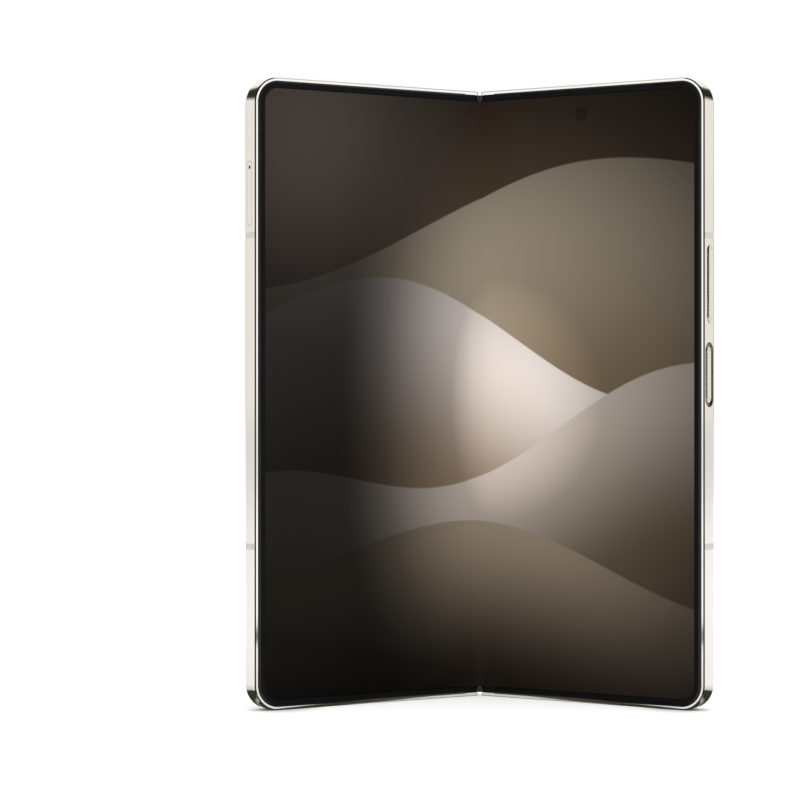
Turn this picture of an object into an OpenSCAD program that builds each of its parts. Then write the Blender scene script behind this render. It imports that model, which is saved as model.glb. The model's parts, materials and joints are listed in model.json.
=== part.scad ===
// Book-style foldable phone, standing half open on its bottom edge.
//
// Each half is drawn lying flat: x runs from the hinge line to the outer side, y from the inner display
// (y = 0 is the front of the frame) to the back glass, z from the bottom edge to the top edge.
// on_half() then turns it about its own hinge axis to the rest position. +Z is up along the hinge,
// -Y faces the person who looks at the inner display, and the origin is the middle of the footprint.

/* [Overall] */
// Height of the phone, along the hinge
height = 154.9; // [140:0.1:190]
// Width of one half, from the hinge line to its outer side
half_width = 64.95; // [54:0.05:78]
// Thickness of one half, from the front of the frame to the back glass
half_depth = 6.1; // [5.9:0.1:7.4]
// Angle that each half is turned from flat when the phone stands half open
rest_tilt = 32; // [0:1:60]

/* [Frame] */
// Radius of the two outer corners
corner_r = 6.4; // [5.6:0.1:8]
// Thickness of the side wall
wall = 1.9; // [1.7:0.1:2.3]
// Width of the flat lip on the front and back of the wall
lip_w = 0.5; // [0.4:0.05:0.8]
// Size of the polished chamfer along both lips
lip_chamfer = 0.3; // [0.15:0.05:0.35]
// Radius of the gentle crown of the side wall
crown_r = 60; // [24:1:80]
// Depth by which the middle of the crown is planed flat, so that the phone stands on it
crown_flat = 0.04; // [0.02:0.01:0.1]
// Radius of the wall's edge beside the back glass (mm)
back_round = 1; // [0.3:0.1:1.4]
// Thickness of the plate that carries the display
floor_t = 0.9; // [0.85:0.05:1.1]
// Step from the back lip up to the back glass
back_step = 0.25; // [0.15:0.05:0.4]

/* [Hinge] */
// Depth of both axes behind the front of the frame
axis_y = 1.275; // [1.25:0.005:1.3]
// Gap on each side of the middle when the phone is folded
closed_gap = 0.05; // [0.03:0.01:0.1]
// Half of the gap that shows between the two frame ends beside the crease (mm)
end_gap = 0.45; // [0.1:0.05:0.6]
// Thickness of the frame behind the spine
back_wall = 0.475; // [0.4:0.025:0.6]
// Wall of the spine cover
spine_wall = 0.6; // [0.5:0.05:0.65]
// Gap between the spine cover and the halves that roll over it
spine_gap = 0.1; // [0.08:0.01:0.15]
// Thickness of the frame over each end of the spine
ear_t = 1.0; // [0.8:0.1:1.4]
// Height above the bottom edge at which the lower hinge module starts
module_z = 14; // [8:0.5:24]

/* [Gear train] */
// Module of the hinge gears
gear_module = 0.2; // [0.19:0.005:0.205]
// Teeth of each pinion and idler
pinion_teeth = 9; // [9:1:9]
// Teeth that the toothed sectors would have as full wheels
sector_teeth = 18; // [18:1:18]
// Pressure angle of the teeth
pressure_angle = 25; // [22:1:27]
// Thickness taken off each tooth for backlash
backlash = 0.03; // [0.02:0.005:0.05]
// Face width of each gear layer
gear_face = 1.6; // [1.2:0.1:2]
// Radius of the gear shafts
shaft_r = 0.5; // [0.4:0.05:0.55]
// Running clearance of the shafts and of the arc tongues
run_gap = 0.03; // [0.02:0.01:0.05]

/* [Display] */
// Thickness of the flexible display
display_t = 0.5; // [0.4:0.05:0.55]
// Thickness of the steel support plates beside the fold
wing_t = 0.26; // [0.2:0.02:0.28]
// Radius of the display's fold when half open
fold_r = 3; // [2:0.1:4]
// Distance from the hinge line to where the display is bonded to its half
bond_x = 7; // [6:0.5:10]
// Width of the black trim beside the display
bezel_side = 1.75; // [1.4:0.05:2.6]
// Width of the black trim above and below the display
bezel_end = 1.8; // [1.5:0.05:2.6]
// Height of the black trim above the display
bezel_rise = 0.55; // [0.3:0.05:0.58]
// Distance from the hinge line to the ends of the black trim
bezel_stop = 4.9; // [4.5:0.1:7]

/* [Keys and tray] */
// Height of the middle of the volume key
volume_z = 104.3; // [101:0.1:108]
// Length of the volume key
volume_len = 19; // [15:0.5:20]
// Height of the middle of the power key
power_z = 82.1; // [78:0.1:84]
// Length of the power key
power_len = 13.7; // [11:0.1:15]
// Width of both keys
key_w = 2.3; // [1.8:0.1:2.5]
// Depth of the scoop round the power key
scoop_depth = 0.5; // [0.3:0.05:0.6]
// Travel of the keys
key_travel = 0.25; // [0.2:0.05:0.35]
// Gap round the keys
key_gap = 0.1; // [0.06:0.02:0.15]
// Height of the middle of the card tray
tray_z = 126.45; // [122:0.1:132]
// Length of the card tray's face
tray_len = 15.5; // [14:0.5:17]
// Depth of the card tray
tray_depth = 14; // [12.5:0.5:16]
// Gap round the card tray
tray_gap = 0.08; // [0.05:0.01:0.12]

/* [Rear cameras] */
// Distance from the outer side to the lens centres
lens_inset = 16.1; // [14:0.1:19]
// Distance from the top edge to the top lens centre
lens_top = 14; // [12:0.1:18]
// Distance between neighbouring lens centres
lens_pitch = 15.6; // [14.4:0.1:18]
// Width of the camera plateau
plateau_w = 17.5; // [15:0.1:19]
// Height of the camera plateau above the back glass
plateau_h = 1.1; // [0.8:0.1:1.6]
// Bevel round the camera plateau
plateau_bevel = 0.7; // [0.3:0.1:0.8]
// Outer radius of the lens rings
ring_r = 6.6; // [6:0.1:7]
// Radius of the lens cover glasses
lens_r = 5.3; // [4.8:0.1:5.4]
// Height of the lens rings above the plateau
ring_h = 0.7; // [0.4:0.1:1.2]
// Distance between the flash and the top lens
flash_offset = 12.9; // [12:0.1:15]
// Radius of the flash window
flash_r = 1.95; // [1.5:0.05:2.4]

/* [Ports] */
// Width of the charging port's opening
port_w = 8.94; // [8.8:0.02:9.2]
// Height of the charging port's opening
port_h = 3.16; // [3:0.02:3.2]
// Length of each sound slot
sound_slot = 2.6; // [2:0.1:3]
// Width of each sound slot
sound_w = 1; // [0.8:0.1:1.2]
// Number of slots in each row
sound_count = 4; // [3:1:5]

/* [Hidden] */
$fn = 96;

// Colours
cream = "#e9e4d8";
pearl = "#f3f0e9";
champagne = "#d9d3c4";
ink = "#16161a";
screen = "#3a322c";
steel = "#b9b9b4";
copper = "#b87b4b";
board_green = "#2f4a3c";
lens_black = "#0c0c10";

// Clearances
eps = 0.01;
far = 100;
film = 0.02;
glass_gap = 0.05;
meet_gap = 0.035;
roll_back = 0.3;
layer_gap = 0.1;
seat_gap = 0.02;

// Levels through one half, from the display to the back glass
glass_t = 0.7;
glass_y = half_depth - glass_t;
frame_back = half_depth - back_step;
inner_y = display_t + floor_t;
arm_y0 = display_t + wing_t + 0.09;
arm_y1 = arm_y0 + 0.75;

// Hinge axes lie where the trims of both halves meet when the phone is folded
axis_x = axis_y + bezel_rise + closed_gap;
spine_r = frame_back - back_wall - spine_gap - axis_y;

// Outline of one half
lip_end = lip_chamfer + lip_w;
pocket_inset = lip_end + 0.3;
display_inset = pocket_inset + glass_gap;
inner_r = 1.3;
bay_r = spine_r + spine_gap;
glass_x0 = 4.65;
bar_x0 = axis_x + bay_r + 0.125;
bar_x1 = bar_x0 + 1.1;
cell_x0 = bar_x1 + 6.4;
wing_x0 = 2.4;
wing_x1 = bar_x1 + 3.8;
flex_z0 = height / 2 - 9;
flex_z1 = height / 2 + 9;
wall_x = half_width - wall;
side_y = frame_back / 2;

// Spine
spine_z0 = ear_t + 0.1;
spine_in_r = spine_r - spine_wall;
spine_fit_r = spine_in_r - 0.05;
spine_in_y = axis_y + spine_in_r;
shell_edge = 8;
shell_y0 = axis_y + spine_r * sin(shell_edge);
block_y = 2.6;
cap_t = 1.2;
tab_half_w = 0.73;
fold_z0 = spine_z0 + 0.8;

// Gears
pinion_r = gear_module * pinion_teeth / 2;
sector_r = gear_module * sector_teeth / 2;
addendum = 0.8 * gear_module;
dedendum = gear_module;
first_tooth = 58;
last_tooth = 176;
gear_tip_r = pinion_r + addendum;
gear_x = [-3 * pinion_r, -pinion_r, pinion_r, 3 * pinion_r];
gear_y = axis_y + sqrt(pow(sector_r + pinion_r, 2) - pow(3 * pinion_r - axis_x, 2));
contact_angle = atan2(gear_y - axis_y, 3 * pinion_r - axis_x);

// Tongues that roll in the arc rails
tongue_r0 = 2.2;
tongue_r1 = 3;
tongue_end = 145;

// Layers of one hinge module, upwards from its lower plate
plate_t = 1;
layer_a = plate_t + layer_gap;
layer_b = layer_a + gear_face + layer_gap;
layer_c = layer_b + gear_face + layer_gap;
plate_2 = layer_c + gear_face + layer_gap;
tongue_t = 2;
layer_d = plate_2 + plate_t + layer_gap;
layer_e = layer_d + tongue_t + 0.8 + 2 * layer_gap;
plate_3 = layer_e + tongue_t + layer_gap;
plate_3_t = 3.4;
module_top = plate_3 + plate_3_t;
seat_z0 = -1;
seat_z1 = plate_3 + 1;
seat_x1 = bar_x1 + 4.8;
seat_t = 1.6;
screw_x = bar_x1 + 2.2;
screw_z = [1.4, seat_z1 - 2.4];
screw_head_r = 1.1;
screw_r = 0.6;
head_t = 0.4;
bracket_screw_z = plate_3 + plate_3_t / 2 + 0.4;
post_x = axis_x + sector_r + addendum + 0.05;
post_w = 0.5;
post_y1 = axis_y + sqrt(pow(spine_fit_r, 2) - pow(post_x + post_w - axis_x, 2)) - 0.07;
disc_stack = 4;
disc_in = shaft_r + 0.08;
disc_out = gear_tip_r - 0.11;
nut_r = 0.9;
nut_t = 0.5;
relief_z0 = -disc_stack - nut_t - 0.2;
flex_t = 0.12;
flex_x0 = 3.6;

// Phase of the teeth at rest: the angle of one tooth's middle on each wheel, worked out along the train
function meshed(phase, teeth_1, teeth_2, line) =
    line + 180 - (phase - line) * teeth_1 / teeth_2 + 180 / teeth_2;
right_sector_phase = contact_angle;
right_pinion_phase = meshed(right_sector_phase, sector_teeth, pinion_teeth, contact_angle);
right_idler_phase = meshed(right_pinion_phase, pinion_teeth, pinion_teeth, 180);
left_idler_phase = meshed(right_idler_phase, pinion_teeth, pinion_teeth, 180);
left_pinion_phase = meshed(left_idler_phase, pinion_teeth, pinion_teeth, 180);
left_sector_phase = meshed(left_pinion_phase, pinion_teeth, sector_teeth, -contact_angle);
gear_phase = [left_pinion_phase, left_idler_phase, right_idler_phase, right_pinion_phase];

// Display fold at rest: an arc that runs into the two flat stretches
fold_y = axis_y + axis_x * tan(rest_tilt) - (axis_y + fold_r) / cos(rest_tilt);
fold_x = axis_x + ((fold_r + axis_y) * sin(rest_tilt) - axis_x) / cos(rest_tilt);
tab_y0 = -0.3;
cap_y = fold_y + fold_r + display_t + 0.065;
tab_y1 = fold_y + sqrt(pow(fold_r, 2) - pow(tab_half_w, 2)) - 0.03;

// Depth of the footprint's middle, so that the origin lies under it
outer_reach = half_width - axis_x;
front_reach = axis_y - outer_reach * sin(rest_tilt) + (lip_chamfer - axis_y) * cos(rest_tilt);
back_reach = axis_y + (axis_x - meet_gap) * sin(rest_tilt) + (frame_back - axis_y) * cos(rest_tilt);
shift_y = -(front_reach + back_reach) / 2;

// Inner parts of the right half
lens_x = half_width - lens_inset;
lens_z = [for (i = [0:2]) height - lens_top - i * lens_pitch];
plateau_y = half_depth + plateau_h;
spigot_r = 5.6;
bore_r = 4.7;
camera_can = 10.8;
board_t = 0.8;
board_top = height - 11.5;
board_bottom = lens_z[2] - 12;
board_x1 = lens_x - camera_can / 2 - 0.8;
port_x = half_width / 2;
port_y = side_y;
port_depth = 7.2;
port_shell = 0.3;
board_y = inner_y + 1;
shield_y1 = glass_y - 0.6;
coil_y = glass_y - 0.45;
cell_x1 = wall_x - 2.4;
coil_r = (cell_x1 - cell_x0) / 2 - 3.5;
speaker_x = port_x - 12.5;
speaker_w = 14;
speaker_d = 9.4;
motor_x = port_x + 14;
cell_z0 = wall + speaker_d + 2.4;
band_w = 1.5;
band_z = [height * 0.259, height * 0.75];
band_x = half_width - 17.8;
flex_x = wall_x - 1.1;
flange_w = 2 * (side_y - inner_y) - 0.1;
flange_t = 0.4;
rocker_flange = 6;
rocker_x = wall_x - key_gap - flange_t / 2;
rib_r = flange_t / 2 + 0.08;
under_camera_x = lens_x - 18.35;
under_camera_z = height - 7.3;

// Inner parts of the left half
cover_panel_y = glass_y - 0.85;
punch_x = half_width / 2 + 1.2;
punch_z = height - 8;
punch_r = 2.2;
sub_z0 = tray_z - tray_len / 2 - 6;
tray_y0 = side_y - 0.95;
tray_y1 = side_y + 0.95;

// ---------------------------------------------------------------- placing

// Turns a half, drawn flat and on the right, to its place at rest
module on_half(side) {
    translate([side * axis_x, axis_y + shift_y, 0])
        rotate([0, 0, -side * rest_tilt])
            translate([-side * axis_x, -axis_y, 0])
                mirror([side < 0 ? 1 : 0, 0, 0])
                    children();
}

// Puts what is drawn about the hinge line at its depth
module on_spine() {
    translate([0, shift_y, 0]) children();
}

// Lower or upper copy of a hinge module
module at_module(upper) {
    translate([0, 0, upper ? height - module_z : module_z])
        mirror([0, 0, upper ? 1 : 0])
            children();
}

// Both hinge modules
module both_modules() {
    for (upper = [false, true])
        at_module(upper) children();
}

// A plate from depth y0 to depth y1 with an outline drawn in x and z
module slab(y0, y1) {
    translate([0, y1, 0])
        rotate([90, 0, 0])
            linear_extrude(y1 - y0)
                children();
}

// A bar along x from x0 to x1, its section drawn in z (to the left) and y
module bar_x(x0, x1) {
    translate([x0, 0, 0])
        rotate([0, 90, 0])
            linear_extrude(x1 - x0)
                children();
}

// A round pin along y
module pin_y(r, y0, y1, x, z) {
    translate([x, y1, z])
        rotate([90, 0, 0])
            cylinder(r = r, h = y1 - y0);
}

// A block given by its lowest and highest corners
module block(low, high) {
    translate(low)
        cube(high - low);
}

// ---------------------------------------------------------------- outlines

// Rectangle in x and z with its own radius for the corners at x0 and at x1
module plate_outline(x0, x1, z0, z1, r0, r1) {
    polygon([
        [x0, z0 + r0], [x0 + r0, z0], [x1 - r1, z0], [x1, z0 + r1],
        [x1, z1 - r1], [x1 - r1, z1], [x0 + r0, z1], [x0, z1 - r0]
    ]);
    for (z = [z0 + r1, z1 - r1])
        translate([x1 - r1, z])
            circle(r1);
    for (z = [z0 + r0, z1 - r0])
        translate([x0 + r0, z])
            circle(r0);
}

// Bar with round ends, its length along the first axis
module stadium(length, width) {
    square([length - width, width], center = true);
    for (side = [-1, 1])
        translate([side * (length - width) / 2, 0])
            circle(width / 2);
}

// Sweeps an edge section along the bottom, the outer side and the top of a half.
// The section is drawn with x inwards from the outer face and y as depth.
module edge_sweep(x0, x1, z1, r) {
    translate([x1, 0, r])
        linear_extrude(z1 - 2 * r)
            mirror([1, 0])
                children();
    for (top = [0, 1])
        translate([0, 0, top * z1])
            mirror([0, 0, top]) {
                translate([x1 - r, 0, 0])
                    rotate([0, -90, 0])
                        linear_extrude(x1 - r - x0)
                            children();
                translate([x1 - r, 0, r])
                    rotate([-90, 0, 0])
                        rotate_extrude(angle = 90)
                            translate([r, 0])
                                mirror([1, 0])
                                    children();
            }
}

// Section of the side wall: a crowned face, flat in its middle, from a chamfered lip to a round back edge
module wall_section() {
    intersection() {
        union() {
            polygon([
                [lip_chamfer, 0], [wall, 0], [wall, frame_back], [back_round, frame_back],
                [0, frame_back - back_round], [0, lip_chamfer]
            ]);
            translate([back_round, frame_back - back_round])
                circle(back_round);
        }
        translate([crown_r - crown_flat, side_y])
            circle(crown_r);
    }
}

// Section of a plate's edge with a quarter round on the side that faces -y (sign -1) or +y (sign 1)
module round_edge_section(u0, u1, y0, y1, r, sign) {
    round_y = sign > 0 ? y1 - r : y0 + r;
    intersection() {
        translate([u0 + r, round_y])
            circle(r);
        translate([u0, y0])
            square([r, y1 - y0]);
    }
    translate([u0 + r, y0])
        square([u1 - u0 - r, y1 - y0]);
    translate([u0, sign > 0 ? y0 : round_y])
        square([r, y1 - y0 - r]);
}

// Profile of the spine about both axes at radius r, kept behind depth y0
module spine_profile(r, y0) {
    intersection() {
        union() {
            for (side = [-1, 1])
                translate([side * axis_x, axis_y])
                    circle(r);
            translate([-axis_x, axis_y])
                square([2 * axis_x, r]);
        }
        translate([-far / 2, y0])
            square([far, far]);
    }
}

// ---------------------------------------------------------------- toothed wheels

function involute(angle) = tan(angle) - angle * PI / 180;
function polar(r, angle) = [r * cos(angle), r * sin(angle)];

// Half the angle that a tooth takes up at radius r
function tooth_half(r, pitch, base) =
    ((PI * gear_module / 2 - backlash) / 2 / pitch + involute(pressure_angle)
        - (r > base ? involute(acos(base / r)) : 0)) * 180 / PI;

// Points of one tooth, anticlockwise, with its middle at the given angle
function tooth(middle, pitch) =
    let (
        base = pitch * cos(pressure_angle),
        root = pitch - dedendum,
        tip = pitch + addendum,
        radii = [root, max(base, root), pitch, (pitch + tip) / 2, tip]
    )
    concat(
        [for (r = radii) polar(r, middle - tooth_half(r, pitch, base))],
        [for (i = [4:-1:0]) polar(radii[i], middle + tooth_half(radii[i], pitch, base))]
    );

// Outline of a whole wheel
function wheel_points(teeth, phase) =
    [for (i = [0:teeth - 1]) each tooth(phase + i * 360 / teeth, gear_module * teeth / 2)];

// Outline of a toothed sector, solid from the axis outwards
function sector_points(phase) =
    let (
        pitch = 360 / sector_teeth,
        first = phase + ceil((first_tooth - phase) / pitch) * pitch,
        last = phase + floor((last_tooth - phase) / pitch) * pitch
    )
    concat(
        [[0, 0]],
        [for (angle = [0:12:first - 12]) polar(sector_r - dedendum, angle)],
        [for (angle = [first:pitch:last + 0.1]) each tooth(angle, sector_r)]
    );

// ---------------------------------------------------------------- frame of one half

// Space in which the spine turns, in x and depth
module hinge_bay() {
    translate([axis_x, axis_y])
        circle(bay_r);
    translate([-1, -1])
        square([1 + axis_x, 1 + axis_y + bay_r]);
    translate([-1, -1])
        square([1 + bar_x0, 1 + arm_y1]);
}

// Round corners where the frame ends beside the hinge line
module inner_corner_cuts() {
    for (z = [0, height - inner_r])
        difference() {
            block([-1, -1, z == 0 ? -1 : z], [meet_gap + inner_r, far, z == 0 ? inner_r : height + 1]);
            pin_y(inner_r, -2, far + 1, meet_gap + inner_r, z == 0 ? inner_r : z);
        }
}

// Wall, display floor and hinge bar of one half, with the recesses that both halves share
module half_shell() {
    difference() {
        union() {
            edge_sweep(meet_gap, half_width, height, corner_r)
                wall_section();
            slab(display_t, inner_y)
                plate_outline(bar_x0, half_width - wall / 2, wall / 2, height - wall / 2, eps, corner_r - wall / 2);
            block([meet_gap, arm_y1, ear_t / 2], [bar_x1, frame_back, height - ear_t / 2]);
            block([bar_x0, display_t, ear_t], [bar_x1, arm_y1 + eps, height - ear_t]);
        }
        translate([0, 0, ear_t])
            linear_extrude(height - 2 * ear_t)
                hinge_bay();
        // Ends of the frame roll past each other on a radius about the hinge axis, down to just behind it
        difference() {
            block([-1, -1, -1], [axis_x, axis_y + roll_back, height + 1]);
            translate([axis_x, axis_y, -2])
                cylinder(r = axis_x - end_gap, h = height + 4);
        }
        inner_corner_cuts();
        // Pocket of the display and recess of its support plate
        slab(-1, display_t)
            plate_outline(-1, half_width - pocket_inset, pocket_inset, height - pocket_inset, eps, corner_r - pocket_inset);
        block([bar_x0 - 1, 0, wall], [wing_x1 + 0.2, display_t + wing_t + 2 * film, height - wall]);
        // Seat of the back glass
        slab(glass_y, half_depth + 1)
            plate_outline(glass_x0 - glass_gap, half_width - lip_end, lip_end, height - lip_end, eps, corner_r - lip_end);
        // Openings for the rotators of both hinge modules and for the hinge cable
        both_modules()
            block([-1, -1, seat_z0 - layer_gap], [seat_x1 + glass_gap, arm_y1, seat_z1 + layer_gap]);
        block([0, inner_y, flex_z0 - 1], [bar_x1 + 1, inner_y + 0.5, flex_z1 + 1]);
    }
    // Seats behind the rotators, with their screw holes
    both_modules()
        difference() {
            block([bar_x1 - 1, arm_y1, seat_z0 - 1], [seat_x1 + 1, arm_y1 + seat_t, seat_z1 + 1]);
            for (z = screw_z)
                pin_y(screw_r, arm_y1 - 1, arm_y1 + seat_t + 1, screw_x, z);
        }
}

// Slots in the wall that split the antenna stretches
module band_slots() {
    for (z = band_z)
        block([wall_x, -1, z - band_w / 2], [half_width + 1, half_depth + 1, z + band_w / 2]);
    for (z = [-1, height - wall])
        block([band_x - band_w / 2, -1, z], [band_x + band_w / 2, half_depth + 1, z + wall + 1]);
}

// Row of sound slots through the end wall
module sound_slots(x, top) {
    pitch = sound_slot + 1.1;
    for (i = [0:sound_count - 1])
        translate([x + (i - (sound_count - 1) / 2) * pitch, side_y, top ? height - wall - 1 : -1])
            linear_extrude(wall + 2)
                stadium(sound_slot, sound_w);
}

// Opening of a key through the side wall
module key_slot(z, length) {
    translate([0, side_y, z])
        bar_x(wall_x - 1, half_width + 1)
            stadium(length + 2 * key_gap, key_w + 2 * key_gap);
}

module right_frame() {
    color(cream)
        on_half(1)
            difference() {
                half_shell();
                band_slots();
                key_slot(volume_z, volume_len);
                key_slot(power_z, power_len);
                // Scoop round the power key, open towards the display
                translate([0, side_y - 0.25, power_z])
                    bar_x(half_width - scoop_depth, half_width + 1)
                        stadium(power_len + 2.2, key_w + 1.9);
                // Charging port, which sinks into the floor, sound slots and microphone in the bottom wall
                translate([port_x, port_y, -1])
                    linear_extrude(port_depth + 1.5)
                        stadium(port_w + 2 * port_shell, port_h + 2 * port_shell);
                sound_slots(speaker_x, false);
                translate([port_x + 8, side_y, -1])
                    cylinder(r = 0.5, h = wall + 2);
                pin_y(2.6, 0, inner_y + 1, under_camera_x, under_camera_z);
            }
}

module left_frame() {
    color(cream)
        on_half(-1)
            difference() {
                half_shell();
                band_slots();
                block(
                    [wall_x - 1, tray_y0 - tray_gap, tray_z - tray_len / 2 - tray_gap],
                    [half_width + 1, tray_y1 + tray_gap, tray_z + tray_len / 2 + tray_gap]
                );
                sound_slots(speaker_x, true);
                translate([port_x + 8, side_y, height - wall - 1])
                    cylinder(r = 0.5, h = wall + 2);
            }
}

module antenna_bands(side) {
    color("#cfc8b8")
        on_half(side)
            intersection() {
                half_shell();
                band_slots();
            }
}

// ---------------------------------------------------------------- glass and cameras

// Back cover with a rounded rim
module back_cover() {
    edge_sweep(glass_x0, half_width, height, corner_r)
        round_edge_section(lip_end + glass_gap, lip_end + 3, glass_y, half_depth, 0.45, 1);
    slab(glass_y, half_depth)
        plate_outline(glass_x0, half_width - lip_end - 2, lip_end + 2, height - lip_end - 2, eps, corner_r - lip_end - 2);
}

// Round-ended shape that follows the row of lenses, as an outline in x and z
module plateau_outline(width) {
    translate([lens_x, lens_z[1]])
        rotate([0, 0, 90])
            stadium(2 * lens_pitch + width, width);
}

module right_back_glass() {
    color(pearl)
        on_half(1)
            difference() {
                back_cover();
                slab(glass_y - 1, half_depth + 1)
                    plateau_outline(plateau_w + 2 * glass_gap);
                pin_y(flash_r + film, glass_y - 1, half_depth + 1, lens_x - flash_offset, lens_z[0]);
            }
}

module cover_glass() {
    color(ink)
        on_half(-1)
            back_cover();
}

module camera_plateau() {
    color(champagne)
        on_half(1)
            difference() {
                union() {
                    slab(glass_y - 0.4, glass_y)
                        plateau_outline(plateau_w + 2);
                    slab(glass_y - 0.1, plateau_y - plateau_bevel)
                        plateau_outline(plateau_w);
                    // Bevelled top: a straight prism between two cones
                    translate([lens_x, 0, lens_z[2]])
                        linear_extrude(2 * lens_pitch)
                            polygon([
                                [-plateau_w / 2, plateau_y - plateau_bevel], [plateau_w / 2, plateau_y - plateau_bevel],
                                [plateau_w / 2 - plateau_bevel, plateau_y], [-plateau_w / 2 + plateau_bevel, plateau_y]
                            ]);
                    for (i = [0, 2])
                        translate([lens_x, plateau_y, lens_z[i]])
                            rotate([90, 0, 0])
                                cylinder(r1 = plateau_w / 2 - plateau_bevel, r2 = plateau_w / 2, h = plateau_bevel);
                }
                for (z = lens_z)
                    pin_y(spigot_r + film, 0, plateau_y + 1, lens_x, z);
            }
}

// Turned ring with a spigot in the plateau and a ledge for its glass
module camera_ring(i) {
    edge = 0.3;
    color(champagne)
        on_half(1)
            translate([lens_x, plateau_y, lens_z[i]])
                rotate([-90, 0, 0])
                    rotate_extrude()
                        polygon([
                            [bore_r, -1.4], [spigot_r, -1.4], [spigot_r, 0], [ring_r, 0], [ring_r, ring_h - edge],
                            [ring_r - edge, ring_h], [lens_r + 0.2, ring_h], [lens_r + film, ring_h - 0.2],
                            [lens_r + film, 0], [bore_r, 0]
                        ]);
}

module camera_glasses() {
    color(lens_black)
        on_half(1)
            for (z = lens_z)
                pin_y(lens_r, plateau_y, plateau_y + ring_h - 0.2, lens_x, z);
}

// One camera: square can, barrel and a domed front element
module camera(i) {
    barrel = [3.9, 4.4, 3.6][i];
    dome_r = [2.6, 3.2, 2.2][i];
    barrel_y = plateau_y - 0.5;
    color("#26262a")
        on_half(1) {
            block(
                [lens_x - camera_can / 2, inner_y, lens_z[i] - camera_can / 2],
                [lens_x + camera_can / 2, glass_y - 0.5, lens_z[i] + camera_can / 2]
            );
            difference() {
                pin_y(barrel, glass_y - 0.6, barrel_y, lens_x, lens_z[i]);
                pin_y(dome_r, barrel_y - 0.6, barrel_y + 1, lens_x, lens_z[i]);
            }
            intersection() {
                translate([lens_x, barrel_y - 0.1 - 2 * dome_r, lens_z[i]])
                    sphere(2 * dome_r);
                pin_y(dome_r, barrel_y - 0.7, barrel_y + 1, lens_x, lens_z[i]);
            }
        }
}

module flash_lens() {
    color("#fff6d8")
        on_half(1) {
            pin_y(flash_r, glass_y - 0.1, half_depth + 0.1, lens_x - flash_offset, lens_z[0]);
            translate([lens_x - flash_offset, 0, lens_z[0]])
                block([-1.5, shield_y1, -1.5], [1.5, glass_y - 0.05, 1.5]);
        }
}

// ---------------------------------------------------------------- inner parts

// Flat cell in its pouch, with round edges along its height
module cell(y1, z0, z1) {
    r = (y1 - inner_y) / 2 - eps;
    x1 = cell_x1 - r;
    block([cell_x0 + r, inner_y, z0], [x1, y1, z1]);
    for (x = [cell_x0 + r, x1])
        translate([x, (inner_y + y1) / 2, z0])
            cylinder(r = r, h = z1 - z0);
    // Tab with the cell's contacts
    block([cell_x0 + 6, inner_y, z1 - eps], [cell_x0 + 22, inner_y + 1, z1 + 2]);
}

module right_battery() {
    color("#4a4a50")
        on_half(1)
            cell(coil_y - 0.02, cell_z0, board_bottom - 3);
}

module charging_coil() {
    z = (cell_z0 + board_bottom) / 2;
    color(copper)
        on_half(1)
            translate([(cell_x0 + cell_x1) / 2, coil_y, z])
                rotate([-90, 0, 0])
                    for (turn = [0:6])
                        rotate_extrude()
                            translate([coil_r - 1.4 * turn - 1.1, 0])
                                square([1.1, glass_y - coil_y - 0.1]);
    color("#3a3a3e")
        on_half(1)
            slab(coil_y - 0.02, coil_y)
                translate([(cell_x0 + cell_x1) / 2, z])
                    circle(coil_r + 1);
}

module main_board() {
    chip_x = cell_x0 + 3;
    color(board_green)
        on_half(1) {
            slab(board_y, board_y + board_t)
                plate_outline(cell_x0, board_x1, board_bottom, board_top, 1, 1);
            // Shields over the processor and the radio, and the parts on the front that rest on the floor
            block([chip_x, board_y + board_t - eps, board_bottom + 3], [board_x1 - 3, shield_y1, board_bottom + 19]);
            block([chip_x, board_y + board_t - eps, board_bottom + 21], [board_x1 - 3, shield_y1, board_top - 2]);
            block([chip_x, inner_y, board_bottom + 4], [board_x1 - 4, board_y + eps, board_top - 12]);
        }
}

module usb_port() {
    color(steel)
        on_half(1)
            translate([port_x, port_y, 0.3]) {
                difference() {
                    linear_extrude(port_depth)
                        stadium(port_w + 2 * port_shell - 2 * film, port_h + 2 * port_shell - 2 * film);
                    translate([0, 0, -1])
                        linear_extrude(port_depth)
                            stadium(port_w - 0.6, port_h - 0.6);
                }
                block([-3.35, -0.35, 1.4], [3.35, 0.35, port_depth - 0.5]);
            }
}

// Closed sound box behind a row of slots
module sound_box(top) {
    z = top ? height - wall - speaker_d : wall;
    slab(inner_y, cover_panel_y - 0.2)
        translate([speaker_x, z + speaker_d / 2])
            square([speaker_w, speaker_d], center = true);
}

module bottom_speaker() {
    color("#222226")
        on_half(1)
            sound_box(false);
}

module top_speaker() {
    color("#222226")
        on_half(-1)
            sound_box(true);
}

module haptic_motor() {
    color(steel)
        on_half(1)
            slab(inner_y, inner_y + 3.2)
                translate([motor_x, wall + 5.2])
                    plate_outline(-5, 5, -4.5, 4.5, 1.5, 1.5);
}

module inner_camera() {
    color(lens_black)
        on_half(1) {
            pin_y(2.5, display_t, inner_y + 1, under_camera_x, under_camera_z);
            block(
                [under_camera_x - 3.2, inner_y, under_camera_z - 3],
                [under_camera_x + 3.2, inner_y + 2.6, under_camera_z + 3]
            );
        }
}

module sub_board() {
    color(board_green)
        on_half(-1) {
            slab(inner_y + 0.9, inner_y + 0.9 + board_t)
                plate_outline(cell_x0, wall_x - tray_depth - 2, sub_z0, height - wall - speaker_d - 1, 1, 1);
            block(
                [cell_x0 + 2, inner_y, sub_z0 + 3],
                [wall_x - tray_depth - 6, inner_y + 0.9 + eps, sub_z0 + 16]
            );
        }
}

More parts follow.
